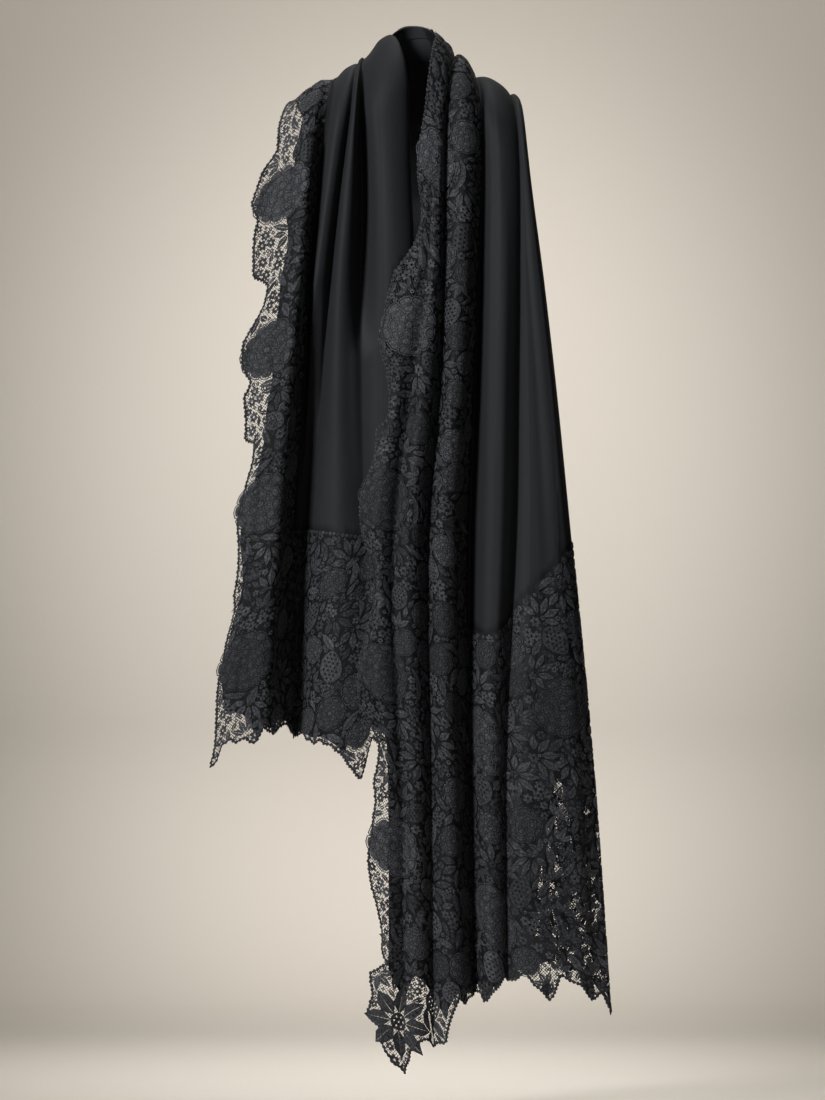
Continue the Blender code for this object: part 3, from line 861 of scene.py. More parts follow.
class Motif:
    """A flat solid shape in mm: its points and faces, and the loops that it needs to itself."""

    def __init__(self, *loops):
        self.points = []
        self.faces = []
        self.loops = [np.asarray(loop, float) for loop in loops]

    def put(self, flat, heights):
        """Adds points at heights above flat places, and gives the number of the first."""
        first = len(self.points)
        heights = np.broadcast_to(heights, len(flat))
        self.points += [(x, y, z) for (x, y), z in zip(flat, heights)]
        return first

    def put_band(self, left, right, height_left, height_right):
        """Adds the top points of two rows and then their points on the net."""
        both = np.concatenate((left, right))
        first = self.put(both, np.repeat((height_left, height_right), len(left)))
        self.put(both, 0.0)
        return first

    def add(self, other, away, turn, spin):
        """Adds another motif, spun, moved a distance up and then turned about this one's foot."""
        def carried(points):
            return turned(turned(points, spin) + (0.0, away), turn)

        points = np.array(other.points)
        first = self.put(carried(points[:, :2]), points[:, 2])
        self.faces += [tuple(first + i for i in face) for face in other.faces]
        self.loops += [carried(loop) for loop in other.loops]

    def centre(self, x, y):
        """Moves the motif so that a point of it is its centre."""
        self.points = [(px - x, py - y, z) for px, py, z in self.points]
        self.loops = [loop - (x, y) for loop in self.loops]

    def wall(self, loop, base):
        """Side quads between a loop of top points and the same loop of base points."""
        for i, j in zip(loop, loop[1:] + loop[:1]):
            self.faces.append((j, i, base + i, base + j))

    def strip(self, left, right, height_left, height_right):
        """A solid band between two rows of points; left and right as seen along the band."""
        count = len(left)
        first = self.put_band(left, right, height_left, height_right)
        for i in range(first, first + count - 1):
            quad = (i, i + count, i + count + 1, i + 1)
            self.faces.append(quad)
            self.faces.append(tuple(2 * count + q for q in reversed(quad)))
        loop = [*range(first, first + count), *range(first + 2 * count - 1, first + count - 1, -1)]
        self.wall(loop[::-1], 2 * count)

    def ring(self, outer, inner, height_outer, height_inner):
        """A closed solid band between two loops of points that turn anticlockwise."""
        count = len(outer)
        first = self.put_band(outer, inner, height_outer, height_inner)
        for i in range(count):
            j = (i + 1) % count
            a, b, c, d = first + i, first + j, first + count + j, first + count + i
            e, f, g, h = (q + 2 * count for q in (a, b, c, d))
            self.faces += [(a, b, c, d), (e, h, g, f), (a, e, f, b), (d, c, g, h)]

    def plate(self, loop, scales, height):
        """A flat solid disc in rings that are narrow enough to bend over a pleat."""
        count, levels = len(loop), len(scales)
        flat = np.concatenate([s * loop for s in scales] + [np.zeros((1, 2))])
        first = self.put(flat, height)
        base = count * levels + 1
        self.put(flat, 0.0)
        for i in range(count):
            j = (i + 1) % count
            for level in range(levels):
                a, b = first + level * count + i, first + level * count + j
                c, d = (a + count, b + count) if level < levels - 1 else (first + base - 1,) * 2
                face = (a, b, d, c) if c != d else (a, b, c)
                self.faces.append(face)
                self.faces.append(tuple(q + base for q in reversed(face)))
            self.faces.append((first + j, first + i, first + base + i, first + base + j))

    def boss(self, loop, height_rim, height_top):
        """A solid cushion over one loop of points that turns anticlockwise."""
        count = len(loop)
        first = self.put(loop, height_rim)
        self.put(loop, 0.0)
        top = self.put([np.mean(loop, axis=0)] * 2, (height_top, 0.0))
        for i in range(count):
            j = (i + 1) % count
            a, b, c, d = first + i, first + j, first + count + i, first + count + j
            self.faces += [(a, b, top), (d, c, top + 1), (a, c, d, b)]

    def pierced(self, outline, holes, inner, height):
        """A solid plate with holes, from a triangulation that keeps the hole's edges."""
        loops = [outline, *holes]
        flat, edges = [], []
        for loop in loops:
            start = len(flat)
            flat += [Vector(p) for p in loop]
            edges += [(start + i, start + (i + 1) % len(loop)) for i in range(len(loop))]
        flat += [Vector(p) for p in inner]
        verts, _, faces, _, _, _ = delaunay_2d_cdt(flat, edges, [], 0, 1e-6)
        base = len(verts)
        first = self.put(verts, [height(*v) for v in verts])
        self.put(verts, 0.0)
        for face in faces:
            middle = np.mean([verts[i] for i in face], axis=0)[None]
            if inside(middle, outline)[0] and not any(inside(middle, hole)[0] for hole in holes):
                self.faces.append(tuple(first + i for i in face))
                self.faces.append(tuple(first + base + i for i in reversed(face)))
        for loop in loops:
            self.wall(list(range(first, first + len(loop))), base)
            first += len(loop)


# %% Roses, leaves and lilies
CORD_WIDTH = 1.3
CORD_HEIGHTS = (0.62, 0.72)
GROOVE = 1.1
PETAL_HEIGHTS = (0.4, 0.55)
PLATE_HEIGHT = 0.15
RIM_HEIGHT = 0.5
EYELET = 1.5


def petal_loop(width, length, count, pinch):
    """A petal that is broad outward (+y) and narrower towards its foot."""
    turn = round_turns(count)
    return xy(0.5 * width * np.cos(turn) * (1 + pinch * np.sin(turn)), 0.5 * length * np.sin(turn))


def rose(radius, rows):
    """A full rose in rows of corded petals: their number, and where they start and stop."""
    motif = Motif(circle(0.97 * radius, 24))
    rings = max(2, round(radius / 9.0))
    ground = (0.45 * rows[0][1] + 0.55) * radius
    motif.plate(circle(ground, 20), np.arange(rings, 0, -1) / rings, PLATE_HEIGHT)
    for row, (petals, near, far) in enumerate(rows):
        length = radius * (far - near)
        width = 2 * math.pi * radius * (0.6 * far + 0.4 * near) / petals * 1.10
        size = np.array((width, length))
        loop = petal_loop(width, length, 8, 0.22)
        centre = np.array((0.0, 0.5 * radius * (far + near)))
        for k in range(petals):
            turn = 2 * math.pi * (k + 0.5 * row) / petals
            outer, inner, top = (turned(loop * (1.0 - 2.0 * inset / size) + centre, turn)
                                 for inset in (0.0, CORD_WIDTH, CORD_WIDTH + GROOVE))
            motif.ring(outer, inner, *CORD_HEIGHTS)
            motif.boss(top, *PETAL_HEIGHTS)
    motif.boss(circle(0.8 * rows[-1][1] * radius, 8), RIM_HEIGHT, RAISE)
    return motif


def leaf(length, width, bend=0.0, stations=7):
    """A pointed leaf with notched sides, in two halves that its vein splits."""
    t = np.linspace(0.0, 1.0, stations)
    half = 0.5 * width * np.sin(math.pi * t ** 0.82) ** 0.9
    half = half * (1.0 - 0.16 * (np.arange(stations) % 2))
    y = length * (t - 0.5)
    middle = bend * (2 * t - 1) ** 2
    vein = 0.34 * (1.0 - t) ** 0.5 * (t < 0.99)
    half = np.maximum(half, vein + 0.05)
    edge_left, edge_right = xy(middle - half, y), xy(middle + half, y)
    motif = Motif(np.concatenate((edge_right, edge_left[::-1])))
    motif.strip(edge_left, xy(middle - vein, y), RIM_HEIGHT, RAISE)
    motif.strip(xy(middle + vein, y), edge_right, RAISE, RIM_HEIGHT)
    return motif


def spray(length, width, count, spread):
    """Leaves that open like a fan from one foot; those at the sides are shorter."""
    fan = Motif()
    for k in range(count):
        off = k - 0.5 * (count - 1)
        size = length * (1.0 - 0.06 * off * off)
        foot = 0.5 * size + 2.0 + 0.25 * width * (count - 3)
        fan.add(leaf(size, width, 0.0, 5), foot, -off * spread, 0.0)
    fan.centre(0.0, 0.5 * length)
    return fan


def lily(radius, petals, width):
    """Long petals that open round a heart, pierced once in its middle and six times round it."""
    heart = 0.25 * radius
    motif = Motif(circle(heart, 14))
    spots = [(0.0, 0.0), *circle(0.58 * heart, 6)]
    holes = [circle(EYELET, 6, *spot) for spot in spots]
    motif.pierced(circle(heart, 14), holes, [], lambda px, py: RAISE)
    for k in range(petals):
        petal = leaf(radius - heart + 1.0, width)
        motif.add(petal, 0.5 * (radius + heart), 2 * math.pi * k / petals, 0.0)
    return motif


# %% Fruits, blossoms and bands
EYELET_ROW = 4.9
EYELET_PITCH = 5.4


def fruit(width, length, rows):
    """A plump fruit pierced with rows of eyelets."""
    turn = round_turns(20)
    outline = xy(0.5 * width * np.cos(turn) * (1 + 0.16 * np.sin(turn)),
                 0.5 * length * np.sin(turn) * (1 + 0.06 * np.cos(4 * turn)))
    holes = []
    for row, count in enumerate(rows):
        at_y = EYELET_ROW * (row - 0.5 * (len(rows) - 1))
        holes += [circle(EYELET, 6, EYELET_PITCH * (k - 0.5 * (count - 1)), at_y, 0.3 * row + k)
                  for k in range(count)]
    motif = Motif(outline)
    reach = 0.5 * length
    motif.pierced(outline, holes, [0.80 * p for p in outline[::2]],
                  lambda px, py: EDGE_HEIGHT + 0.15 * (1 - min(1.0, (px * px + py * py) / reach ** 2)))
    return motif


def blossom(radius, petals):
    """A small blossom of round petals with an eyelet at its heart."""
    count = 4 * petals
    turn = round_turns(count)
    reach = radius * np.tile((0.62, 0.94, 1.0, 0.94), petals)
    motif = Motif(circle(radius * 0.96, 10))
    motif.ring(xy(reach * np.cos(turn), reach * np.sin(turn)), circle(0.25 * radius, count),
               EDGE_HEIGHT, RAISE)
    return motif


def posy(radius, petals):
    """Three blossoms that touch."""
    group = Motif()
    for k in range(3):
        group.add(blossom(radius, petals), radius * 1.1, 2 * math.pi * k / 3, 0.4 * k)
    return group


def bead(radius, hole, low, high):
    """A small worked ring."""
    motif = Motif(circle(radius, 8))
    motif.ring(circle(radius, 7), circle(hole, 7), low, high)
    return motif


def crescent(radius, width, sweep):
    """A curved band, thick in the middle."""
    turn = np.linspace(-0.5 * sweep, 0.5 * sweep, 9)
    half = 0.5 * width * np.cos(turn / sweep * math.pi * 0.92)
    ray = xy(np.sin(turn), np.cos(turn))
    outer, inner = (ray * (radius + side * half)[:, None] - (0.0, radius) for side in (1, -1))
    motif = Motif(np.concatenate((outer, inner[::-1])))
    motif.strip(outer, inner, EDGE_HEIGHT, RAISE)
    return motif


MOTIFS = {
    "rose": rose(36.0, ((12, 0.64, 1.0), (9, 0.38, 0.70), (6, 0.13, 0.45))),
    "dahlia": rose(22.0, ((9, 0.54, 1.0), (6, 0.16, 0.61))),
    "lily": lily(43.0, 8, 20.0),
    "fruit": fruit(28.0, 37.0, (2, 3, 4, 3, 4, 3, 2)),
    "fan": spray(23.0, 8.6, 5, math.radians(38)),
    "trefoil": spray(19.0, 8.0, 3, math.radians(46)),
    "posy": posy(6.2, 6),
    "leaf": leaf(27.0, 10.5),
    "sickle": leaf(31.0, 9.0, 4.0),
    "leaflet": leaf(15.0, 6.6, 0.0, 5),
    "crescent": crescent(30.0, 6.0, 1.6),
    "blossom": blossom(6.4, 6),
    "star": blossom(4.9, 5),
    "bud": bead(2.7, 0.972, EDGE_HEIGHT, RAISE),
}
KINDS = list(MOTIFS)
for name, motif in MOTIFS.items():
    print(name, len(motif.points), "points", len(motif.faces), "faces")

# %% [markdown]
# ## Drafting the lace
#
# A lace designer drafts one repeat: a rose in each scallop, fruits and fans of leaves behind it,
# and blossoms along the edge.  The repeat here is charted as a row for each motif.  What
# space it leaves is filled as a designer would, the largest shape first and then ever smaller
# ones, on a map of free millimetres.  The seed is fixed, so the draft is the same each time.

# %% The free edges and the hems
# How far each free edge is drawn in, in mm, at ways down it.  The deep places are the notches
# between scallops, and a minus is a rose or a leaf that stands out past the edge's even line.
LONG_EDGE_IN = (
    (0, 0), (250, 0), (306, -9), (336, -17), (388, -3), (411, -6), (439, 1), (465, 6), (499, 11),
    (519, -3), (551, 9), (571, 7), (601, 2), (645, -2), (666, 1), (689, 7), (709, 7), (744, 3),
    (796, -2), (817, -7), (849, -16), (870, -8), (889, -3), (935, -7), (959, 3), (996, 6),
    (1029, -1), (1062, -5), (1092, -3), (1132, 5), (1144, 17), (1162, -4), (1185, 7), (1210, 2),
    (1222, 20), (1241, 18), (1263, 24),
)
SHORT_EDGE_IN = (
    (0, -6), (79, -6), (113, 0), (133, -14), (172, -15), (194, -3), (209, -7), (255, -17),
    (268, -1), (274, 4), (299, 5), (321, -2), (338, -7), (368, -3), (389, 7), (403, -5),
    (451, -8), (463, 9), (487, 14), (525, 13), (555, 8), (583, 6), (634, -8), (656, -1),
    (721, 9), (795, -5), (833, -9),
)
BACK_SCALLOP = (
    (0.00, 0.0), (0.17, 0.8), (0.25, 5.5), (0.31, 3.0), (0.46, 3.5), (0.56, 8.0),
    (0.62, 14.0), (0.68, 8.0), (0.78, 2.0), (0.90, 0.2), (1.00, 0.0),
)
RIPPLE = 1.6
RIPPLE_PITCH = 11.0
TEETH = 8.0
TEETH_PITCH = 21.0


def ripple(along):
    return RIPPLE * (1.0 - np.abs(np.sin(math.pi * along / RIPPLE_PITCH)))


def teeth(x):
    """How far the leaf tips along a hem hang below its line."""
    phase = (x / TEETH_PITCH + 0.35 * np.sin(x / 34.0)) % 1.0
    point = 1.0 - np.abs(2.0 * phase - 1.0)
    return TEETH * point * (0.7 + 0.3 * np.sin(x / 13.0)) - 0.3 * TEETH


def front_edge_in(y):
    """How far the upper edge is drawn in; round the nape it is even."""
    return np.where(y < 0, read_table(-y, LONG_EDGE_IN) + ripple(y), 1.0)


def lower_edge_in(y):
    """How far the lower edge is drawn in: charted on the short side, and a repeat beyond."""
    phase = ((y - SHORT_SCALLOP.first) / SHORT_SCALLOP.pitch) % 1.0
    repeat = np.maximum(smooth_interp(phase, *zip(*BACK_SCALLOP)), 0.0)
    return np.where(y < 0, read_table(-y, SHORT_EDGE_IN), repeat) + ripple(y)


def long_hem(x, fold):
    """The way to the long end's scalloped hem."""
    return long_end.hem(fold) + read_table(fold, LONG_HEM) + teeth(x)


def short_hem(x, fold):
    return short_end.hem(fold) + read_table(fold, SHORT_HEM) + teeth(x)


# %% Where each lace lies on the charts
# The upper edge of the end laces, as heights in mm: at each fold line of the long end from the
# deep cleft on, and at each of the short end from the turned side on.
LONG_END_TOP = (-662, -668, -640, -585, -560, -575, -580)
SHORT_END_TOP = (-566, -562, -556, -552, -548, -548, -548)
DEEP_CLEFT = long_end.place("deep_cleft")
RETURN = long_end.place("return")
SHORT_CLEFT = short_end.place("deep_cleft")
INNER_TURN = short_end.place("inner_turn")
NAPE_LACE = 92.0
NAPE_STOP = 0.38
LACE_STOP = 5.82
BACK_LACE = ((0.0, 61.0), (0.16, 84.0), (0.34, 100.0), (0.62, 100.0), (0.86, 46.0), (1.0, 14.3))


def end_top(end, fold, first, heights):
    """The way that brings a place between folds down to the upper edge of an end's lace."""
    height = smooth_interp(fold, first + np.arange(len(heights)), heights)
    hems = [f.hem for f in end.folds]
    return end.hem(fold) - (height - smooth_interp(fold, np.arange(len(hems)), hems))


def long_end_top(fold):
    return end_top(long_end, fold, DEEP_CLEFT, LONG_END_TOP)


def short_end_top(fold):
    return end_top(short_end, fold, INNER_TURN, SHORT_END_TOP)


ridge_lace_width = float(upper_chart.x_at(np.zeros(1), LACE_STOP * DENSE)[0])


def long_lace_width(y):
    """The front lace's width: to the deep cleft, and narrowing to nothing round the nape."""
    nape = NAPE_LACE * (1.0 - y / (NAPE_STOP * collar_length))
    return np.where(y < 0, upper_chart.x_at(np.minimum(y, 0.0), LACE_STOP * DENSE),
                    np.clip(nape, 2.0, ridge_lace_width))


def edge_lace_width(y):
    """The lower lace's width, from the short end's hem over the back to the long end's."""
    share = np.clip(y / swag_length, 0.0, 1.0)
    back = smooth_interp(share, *zip(*BACK_LACE))
    back = back + 5.0 * np.sin(math.pi * share) * np.abs(np.sin(math.pi * y / 62.0))
    left = lower_chart.x_at(np.minimum(y, 0.0), short_column("deep_cleft"))
    right = lower_chart.x_at(np.maximum(y, swag_length), 1.0 * DENSE)
    return np.where(y < 0, left, np.where(y > swag_length, right, back))


def short_fold_at(fold):
    """The short side's place between folds that meets a place of the long side at the nape."""
    return np.interp(np.interp(fold, right_fold, right_share), left_share, left_fold)


# %% Maps of the laces' ground, one cell a millimetre
PANELS = ("none", "front", "long_end", "edge_left", "edge_back", "edge_right", "short_end")
PLAIN = -1
CLEAR_FROM = 8.45


class LaceMap:
    """A chart's map of where there is lace, which panel it is, and what is still free."""

    def __init__(self, chart, x_size, y_low, y_high):
        self.chart, self.x_low, self.y_low = chart, -24, y_low
        self.x = np.arange(self.x_low, x_size) + 0.5
        self.y = np.arange(y_low, y_high) + 0.5
        self.fold = np.empty((len(self.y), len(self.x)))
        for row, (low, part) in enumerate(zip(*chart.row_at(self.y))):
            across = blend(chart.across[low], chart.across[low + 1], part)
            self.fold[row] = np.interp(self.x, across, chart.fold)
        self.panel = np.zeros(self.fold.shape, np.int8)
        self.taken = np.zeros(self.fold.shape, bool)
        self.clear = np.zeros(self.fold.shape, bool)

    def cells(self, points):
        column = np.clip(np.floor(points[:, 0] - self.x_low).astype(int), 0, len(self.x) - 1)
        row = np.clip(np.floor(points[:, 1] - self.y_low).astype(int), 0, len(self.y) - 1)
        return row, column

    def give(self, where, panel):
        self.panel[where] = PANELS.index(panel)


def draft_maps():
    upper = LaceMap(upper_chart, 470, -1290, int(collar_length))
    x, y, fold = upper.x[None, :], upper.y[:, None], upper.fold
    width = long_lace_width(upper.y)[:, None]
    above_hem = -y < long_hem(x, fold)
    foot = (y < 0) & (-y > long_end_top(np.maximum(fold, DEEP_CLEFT)))
    upper.give((x > front_edge_in(y)) & (x < width) & above_hem, "front")
    upper.give((x >= width) & (fold < RETURN) & foot & above_hem, "long_end")
    upper.panel[(x >= width) & ~foot] = PLAIN
    upper.clear = (fold > CLEAR_FROM) & (-y > wool_way(long_end, fold, LONG_HEM, LONG_RISE))

    lower = LaceMap(lower_chart, 300, -930, int(swag_length) + 1130)
    x, y, fold = lower.x[None, :], lower.y[:, None], short_fold_at(lower.fold)
    width = edge_lace_width(lower.y)[:, None]
    above_hem = np.abs(y) < np.where(y < 0, short_hem(x, fold),
                                     swag_length + long_hem(x, lower.fold))
    foot = (y < 0) & (-y > short_end_top(np.minimum(fold, SHORT_CLEFT)))
    edge = (x > lower_edge_in(y)) & (x < width) & above_hem
    lower.give(edge & (y < 0), "edge_left")
    lower.give(edge & (y >= 0) & (y <= swag_length), "edge_back")
    lower.give(edge & (y > swag_length), "edge_right")
    lower.give((x >= width) & (fold > INNER_TURN) & foot & above_hem, "short_end")
    lower.panel[(x >= width) & ~foot] = PLAIN
    return upper, lower


upper_map, lower_map = draft_maps()
for name, drafted in (("upper", upper_map), ("lower", lower_map)):
    print(name, {panel: int((drafted.panel == p).sum()) for p, panel in enumerate(PANELS)})

# %% The charted repeat
Placed = namedtuple("Placed", "kind x down turn size")
BORDER_REPEAT = table(
    Placed,
    ("rose", 31, 0, 0, 1.0),
    ("fruit", 90, -34, 24, 1.0),
    ("fan", 106, 26, -78, 1.0),
    ("fan", 42, 60, 168, 0.95),
    ("posy", 14, 52, 0, 1.0),
    ("posy", 14, -60, 30, 1.0),
    ("fruit", 84, 78, -28, 1.0),
    ("dahlia", 132, -66, 0, 1.0),
    ("fan", 146, 70, 30, 1.05),
    ("sickle", 20, 104, 24, 0.9),
    ("trefoil", 44, -68, -10, 1.0),
    ("fruit", 166, -20, 150, 1.0),
    ("dahlia", 128, 118, 0, 0.95),
    ("blossom", 10, 74, 0, 1.0),
    ("blossom", 10, 90, 0, 1.0),
    ("crescent", 78, 6, -90, 1.0),
)
# The flower that hangs at the long end's lowest corner, with its ways measured from the ridge.
CORNER_SPRAY = table(
    Placed,
    ("lily", 40, 1210, 178, 1.0),
    ("fruit", 15, 1170, 10, 0.62),
    ("sickle", 30, 1158, -12, 1.1),
    ("sickle", 78, 1196, 14, 1.0),
    ("sickle", 92, 1202, -166, 0.9),
    ("leaf", 84, 1228, 70, 0.7),
)
FIELD_REPEAT = table(
    Placed,
    ("rose", 212, 36, 0, 1.05),
    ("fan", 212, -34, 12, 1.0),
    ("fruit", 262, -6, 170, 1.0),
    ("fan", 270, 62, -96, 1.05),
    ("dahlia", 262, 120, 0, 1.0),
    ("fruit", 196, 96, -14, 1.0),
    ("rose", 332, -20, 0, 1.0),
    ("fan", 330, 56, 178, 1.0),
    ("fruit", 318, 106, 40, 1.0),
    ("fan", 384, 90, 64, 1.0),
    ("fruit", 392, 10, -30, 1.0),
    ("dahlia", 376, -52, 0, 1.0),
)
SHORT_FIELD_REPEAT = table(
    Placed,
    ("rose", 152, 74, 0, 1.1),
    ("rose", 160, -2, 0, 1.05),
    ("fan", 112, 32, 70, 1.0),
    ("fruit", 204, 40, 166, 1.0),
    ("fan", 214, -14, -120, 1.0),
    ("dahlia", 236, 72, 0, 1.0),
)
# What fills the space between: the kind, how many tries, the sizes, and the overlap allowed.
Filler = namedtuple("Filler", "kind tries low high overlap")
FILLERS = table(
    Filler,
    ("dahlia", 250, 0.75, 0.95, 0.02),
    ("fan", 900, 0.9, 1.15, 0.03),
    ("fruit", 250, 0.75, 0.95, 0.02),
    ("posy", 500, 0.8, 1.1, 0.02),
    ("trefoil", 1500, 0.85, 1.15, 0.03),
    ("leaf", 1200, 0.85, 1.1, 0.03),
    ("sickle", 900, 0.7, 1.0, 0.03),
    ("blossom", 2500, 0.8, 1.1, 0.03),
    ("leaflet", 4500, 0.8, 1.2, 0.03),
    ("star", 6000, 0.8, 1.05, 0.05),
    ("bud", 9000, 0.7, 1.1, 0.12),
)
# What is worked where no wool lies behind: small leaves and blossoms that run with the pleats.
LEAFY = ("trefoil", "leaf", "sickle", "leaflet", "blossom", "star", "bud")

# %% Stamps: what each kind covers
MARGIN = 0.5
STAMP_STEP = 0.9


def stamp_points(motif):
    """Points inside a motif's loops, with a little margin, that cover every map cell."""
    every = np.concatenate(motif.loops)
    low, high = every.min(axis=0) - 2.0, every.max(axis=0) + 2.0
    x, y = np.meshgrid(*(np.arange(low[i], high[i], STAMP_STEP) for i in (0, 1)))
    points = xy(x.ravel(), y.ravel())
    found = np.zeros(len(points), bool)
    for loop in motif.loops:
        middle = loop.mean(axis=0)
        away = loop - middle
        reach = np.linalg.norm(away, axis=1, keepdims=True)
        found |= inside(points, middle + away * (1 + MARGIN / np.maximum(reach, 1.0)))
    return points[found]


STAMPS = {name: stamp_points(motif) for name, motif in MOTIFS.items()}


# %% Setting the motifs out
# The most of a motif that may lie over plain wool, over clear lace, on other motifs, or past the
# lace's edge, and how far it may lean where it runs with the pleats.
MOST_PLAIN = 0.015
MOST_CLEAR = 0.2
CHARTED_OVERLAP = 0.05
CHARTED_OUTSIDE = 0.25
FILLED_OUTSIDE = 0.10
LEAN = 0.22
FILL_BATCH = 500


class Draft:
    """The motifs set out on one map: first what is charted, and then what fills the rest."""

    def __init__(self, lace_map, seed, edge_in, *charted):
        self.map = lace_map
        self.random = np.random.default_rng(seed)
        self.set = []
        for rows, ways, side in charted:
            self.repeat(rows, ways, side, edge_in)
        self.fill()

    def try_motif(self, kind, x, y, turn, size, overlap, outside):
        """Sets a motif if it fits on the lace there and clear of what is set already."""
        points = turned(STAMPS[kind] * size, turn) + (x, y)
        cells = self.map.cells(points)
        panel = self.map.panel[cells]
        fits = (kind in LEAFY or self.map.clear[cells].mean() <= MOST_CLEAR) and (
            (panel == PLAIN).mean() <= MOST_PLAIN and (panel == 0).mean() <= outside
            and self.map.taken[cells].mean() <= overlap)
        if fits:
            own = int(np.bincount(panel[panel > 0]).argmax())
            self.map.taken[cells] = True
            self.set.append((KINDS.index(kind), x, y, turn, size, own))

    def repeat(self, rows, ways, side, edge_in):
        """Sets out a charted repeat at each scallop; what is near the edge follows its outline."""
        for way in ways:
            for placed in rows:
                y = side * (way + placed.down)
                turn = math.radians(placed.turn)
                near = max(0.0, 1.0 - placed.x / 90.0)
                x = placed.x + near * float(edge_in(np.float64(y)))
                self.try_motif(placed.kind, x, y, turn if side < 0 else math.pi - turn,
                               placed.size, CHARTED_OVERLAP, CHARTED_OUTSIDE)

    def fill(self):
        """Fills what is free, the largest kinds first."""
        for filler in FILLERS:
            for _ in range(filler.tries // FILL_BATCH + 1):
                free = np.flatnonzero((self.map.panel > 0) & ~self.map.taken)
                if not len(free):
                    return
                for cell in self.random.choice(free, FILL_BATCH):
                    row, column = divmod(int(cell), len(self.map.x))
                    size = self.random.uniform(filler.low, filler.high)
                    turn = self.random.uniform(0, 2 * math.pi)
                    if self.map.clear[row, column]:
                        turn = LEAN * (turn - math.pi)
                    self.try_motif(filler.kind, self.map.x[column], self.map.y[row], turn, size,
                                   filler.overlap, FILLED_OUTSIDE)


RIDGE_SLACK = 20.0


def scallop_ways(scallop, last):
    return np.arange(scallop.first - scallop.pitch * 4, last, scallop.pitch)


long_ways = scallop_ways(LONG_SCALLOP, LONG_REACH)
short_ways = scallop_ways(SHORT_SCALLOP, SHORT_REACH)
short_ways = short_ways[short_ways > -RIDGE_SLACK]
back_ways = np.arange(SHORT_SCALLOP.first, swag_length + LONG_REACH, SHORT_SCALLOP.pitch)
upper_draft = Draft(upper_map, 11, front_edge_in, (CORNER_SPRAY, (0.0,), -1),
                    (BORDER_REPEAT, long_ways, -1), (FIELD_REPEAT, long_ways, -1))
lower_draft = Draft(lower_map, 23, lower_edge_in, (BORDER_REPEAT, short_ways, -1),
                    (SHORT_FIELD_REPEAT, short_ways, -1), (BORDER_REPEAT, back_ways, 1))
for name, draft in (("upper", upper_draft), ("lower", lower_draft)):
    kinds = np.array([row[0] for row in draft.set])
    worked = draft.map.taken[draft.map.panel > 0].mean()
    print(name, len(draft.set), "motifs,", f"{worked:.0%} of the net worked,",
          {KINDS[k]: int((kinds == k).sum()) for k in np.unique(kinds)})

# %% [markdown]
# ## Working the lace
#
# Each lace is made twice over, as it is in life.  First comes the ground: a thin net cut to the
# scalloped outline and laid on the cloth.  Then the motifs are worked on it.  Geometry Nodes set
# them out flat, one instance at each point of the draft, and the chart then carries the whole
# flat lace round the shawl's folds, so every flower bends over the pleat that it crosses.

# %% Ground nets
NET_LIFT = 0.9


def flat_grid(lace_map, columns, rows, left, right, start_of, stop_of):
    """A grid of flat points between two edges and two ends; the ends may follow the folds."""
    u = np.linspace(0.0, 1.0, columns + 1)

    def x_of(y):
        return left(y) + u * (right(y) - left(y))

    def end(y_of):
        y = np.full(len(u), float(np.mean(lace_map.y)))
        for _ in range(8):
            x = x_of(y)
            y = 0.3 * y + 0.7 * y_of(x, lace_map.fold[lace_map.cells(xy(x, y))])
        return y

    start, stop = end(start_of), end(stop_of)
    y = start + np.linspace(0.0, 1.0, rows + 1)[:, None] * (stop - start)
    return xy(x_of(y), y)


def paint_uv(piece, name, flat):
    """A UV map in metres from one flat place for each vertex."""
    layer = piece.data.uv_layers.new(name=name)
    corners = np.empty(len(piece.data.loops), np.int32)
    piece.data.loops.foreach_get("vertex_index", corners)
    layer.data.foreach_set("uv", (np.asarray(flat) * MM)[corners].ravel())


def lay_ground(name, lace_map, grid, material):
    """A net on the shawl, with its flat places as its UV map."""
    flat = grid.reshape(-1, 2)
    points = lace_map.chart.lay(*flat.T, np.full(len(flat), NET_LIFT))
    piece = new_piece(name, points, grid_faces(*grid.shape[:2], flip=True).tolist(), material)
    paint_uv(piece, "net", flat)
    print(name, len(piece.data.polygons), "faces")
    return piece


def long_foot(x, fold):
    return -long_hem(x, fold)


def short_foot(x, fold):
    return -short_hem(x, short_fold_at(fold))


front_grid = flat_grid(upper_map, 30, 440, front_edge_in, long_lace_width, long_foot,
                       lambda x, fold: np.full(len(x), 0.97 * NAPE_STOP * collar_length))
long_end_grid = flat_grid(upper_map, 56, 124, long_lace_width,
                          lambda y: upper_chart.x_at(y, RETURN * DENSE), long_foot,
                          lambda x, fold: -long_end_top(np.maximum(fold, DEEP_CLEFT)))
edge_grid = flat_grid(lower_map, 18, 920, lower_edge_in, edge_lace_width, short_foot,
                      lambda x, fold: swag_length + long_hem(x, fold))
short_end_grid = flat_grid(lower_map, 38, 70, edge_lace_width,
                           lambda y: lower_chart.x_at(y, short_column("inner_turn")), short_foot,
                           lambda x, fold: -short_end_top(short_fold_at(fold)))
open_net = lace_net("black_lace_net", NET_THREAD)
close_net = lace_net("black_lace_net_close", CLOSE_THREAD, CLOSE_WORKED)
GROUNDS = {
    "front": lay_ground("front_lace_net", upper_map, front_grid, open_net),
    "long_end": lay_ground("long_end_lace_net", upper_map, long_end_grid, close_net),
    "edge": lay_ground("edge_lace_net", lower_map, edge_grid, open_net),
    "short_end": lay_ground("short_end_lace_net", lower_map, short_end_grid, open_net),
}


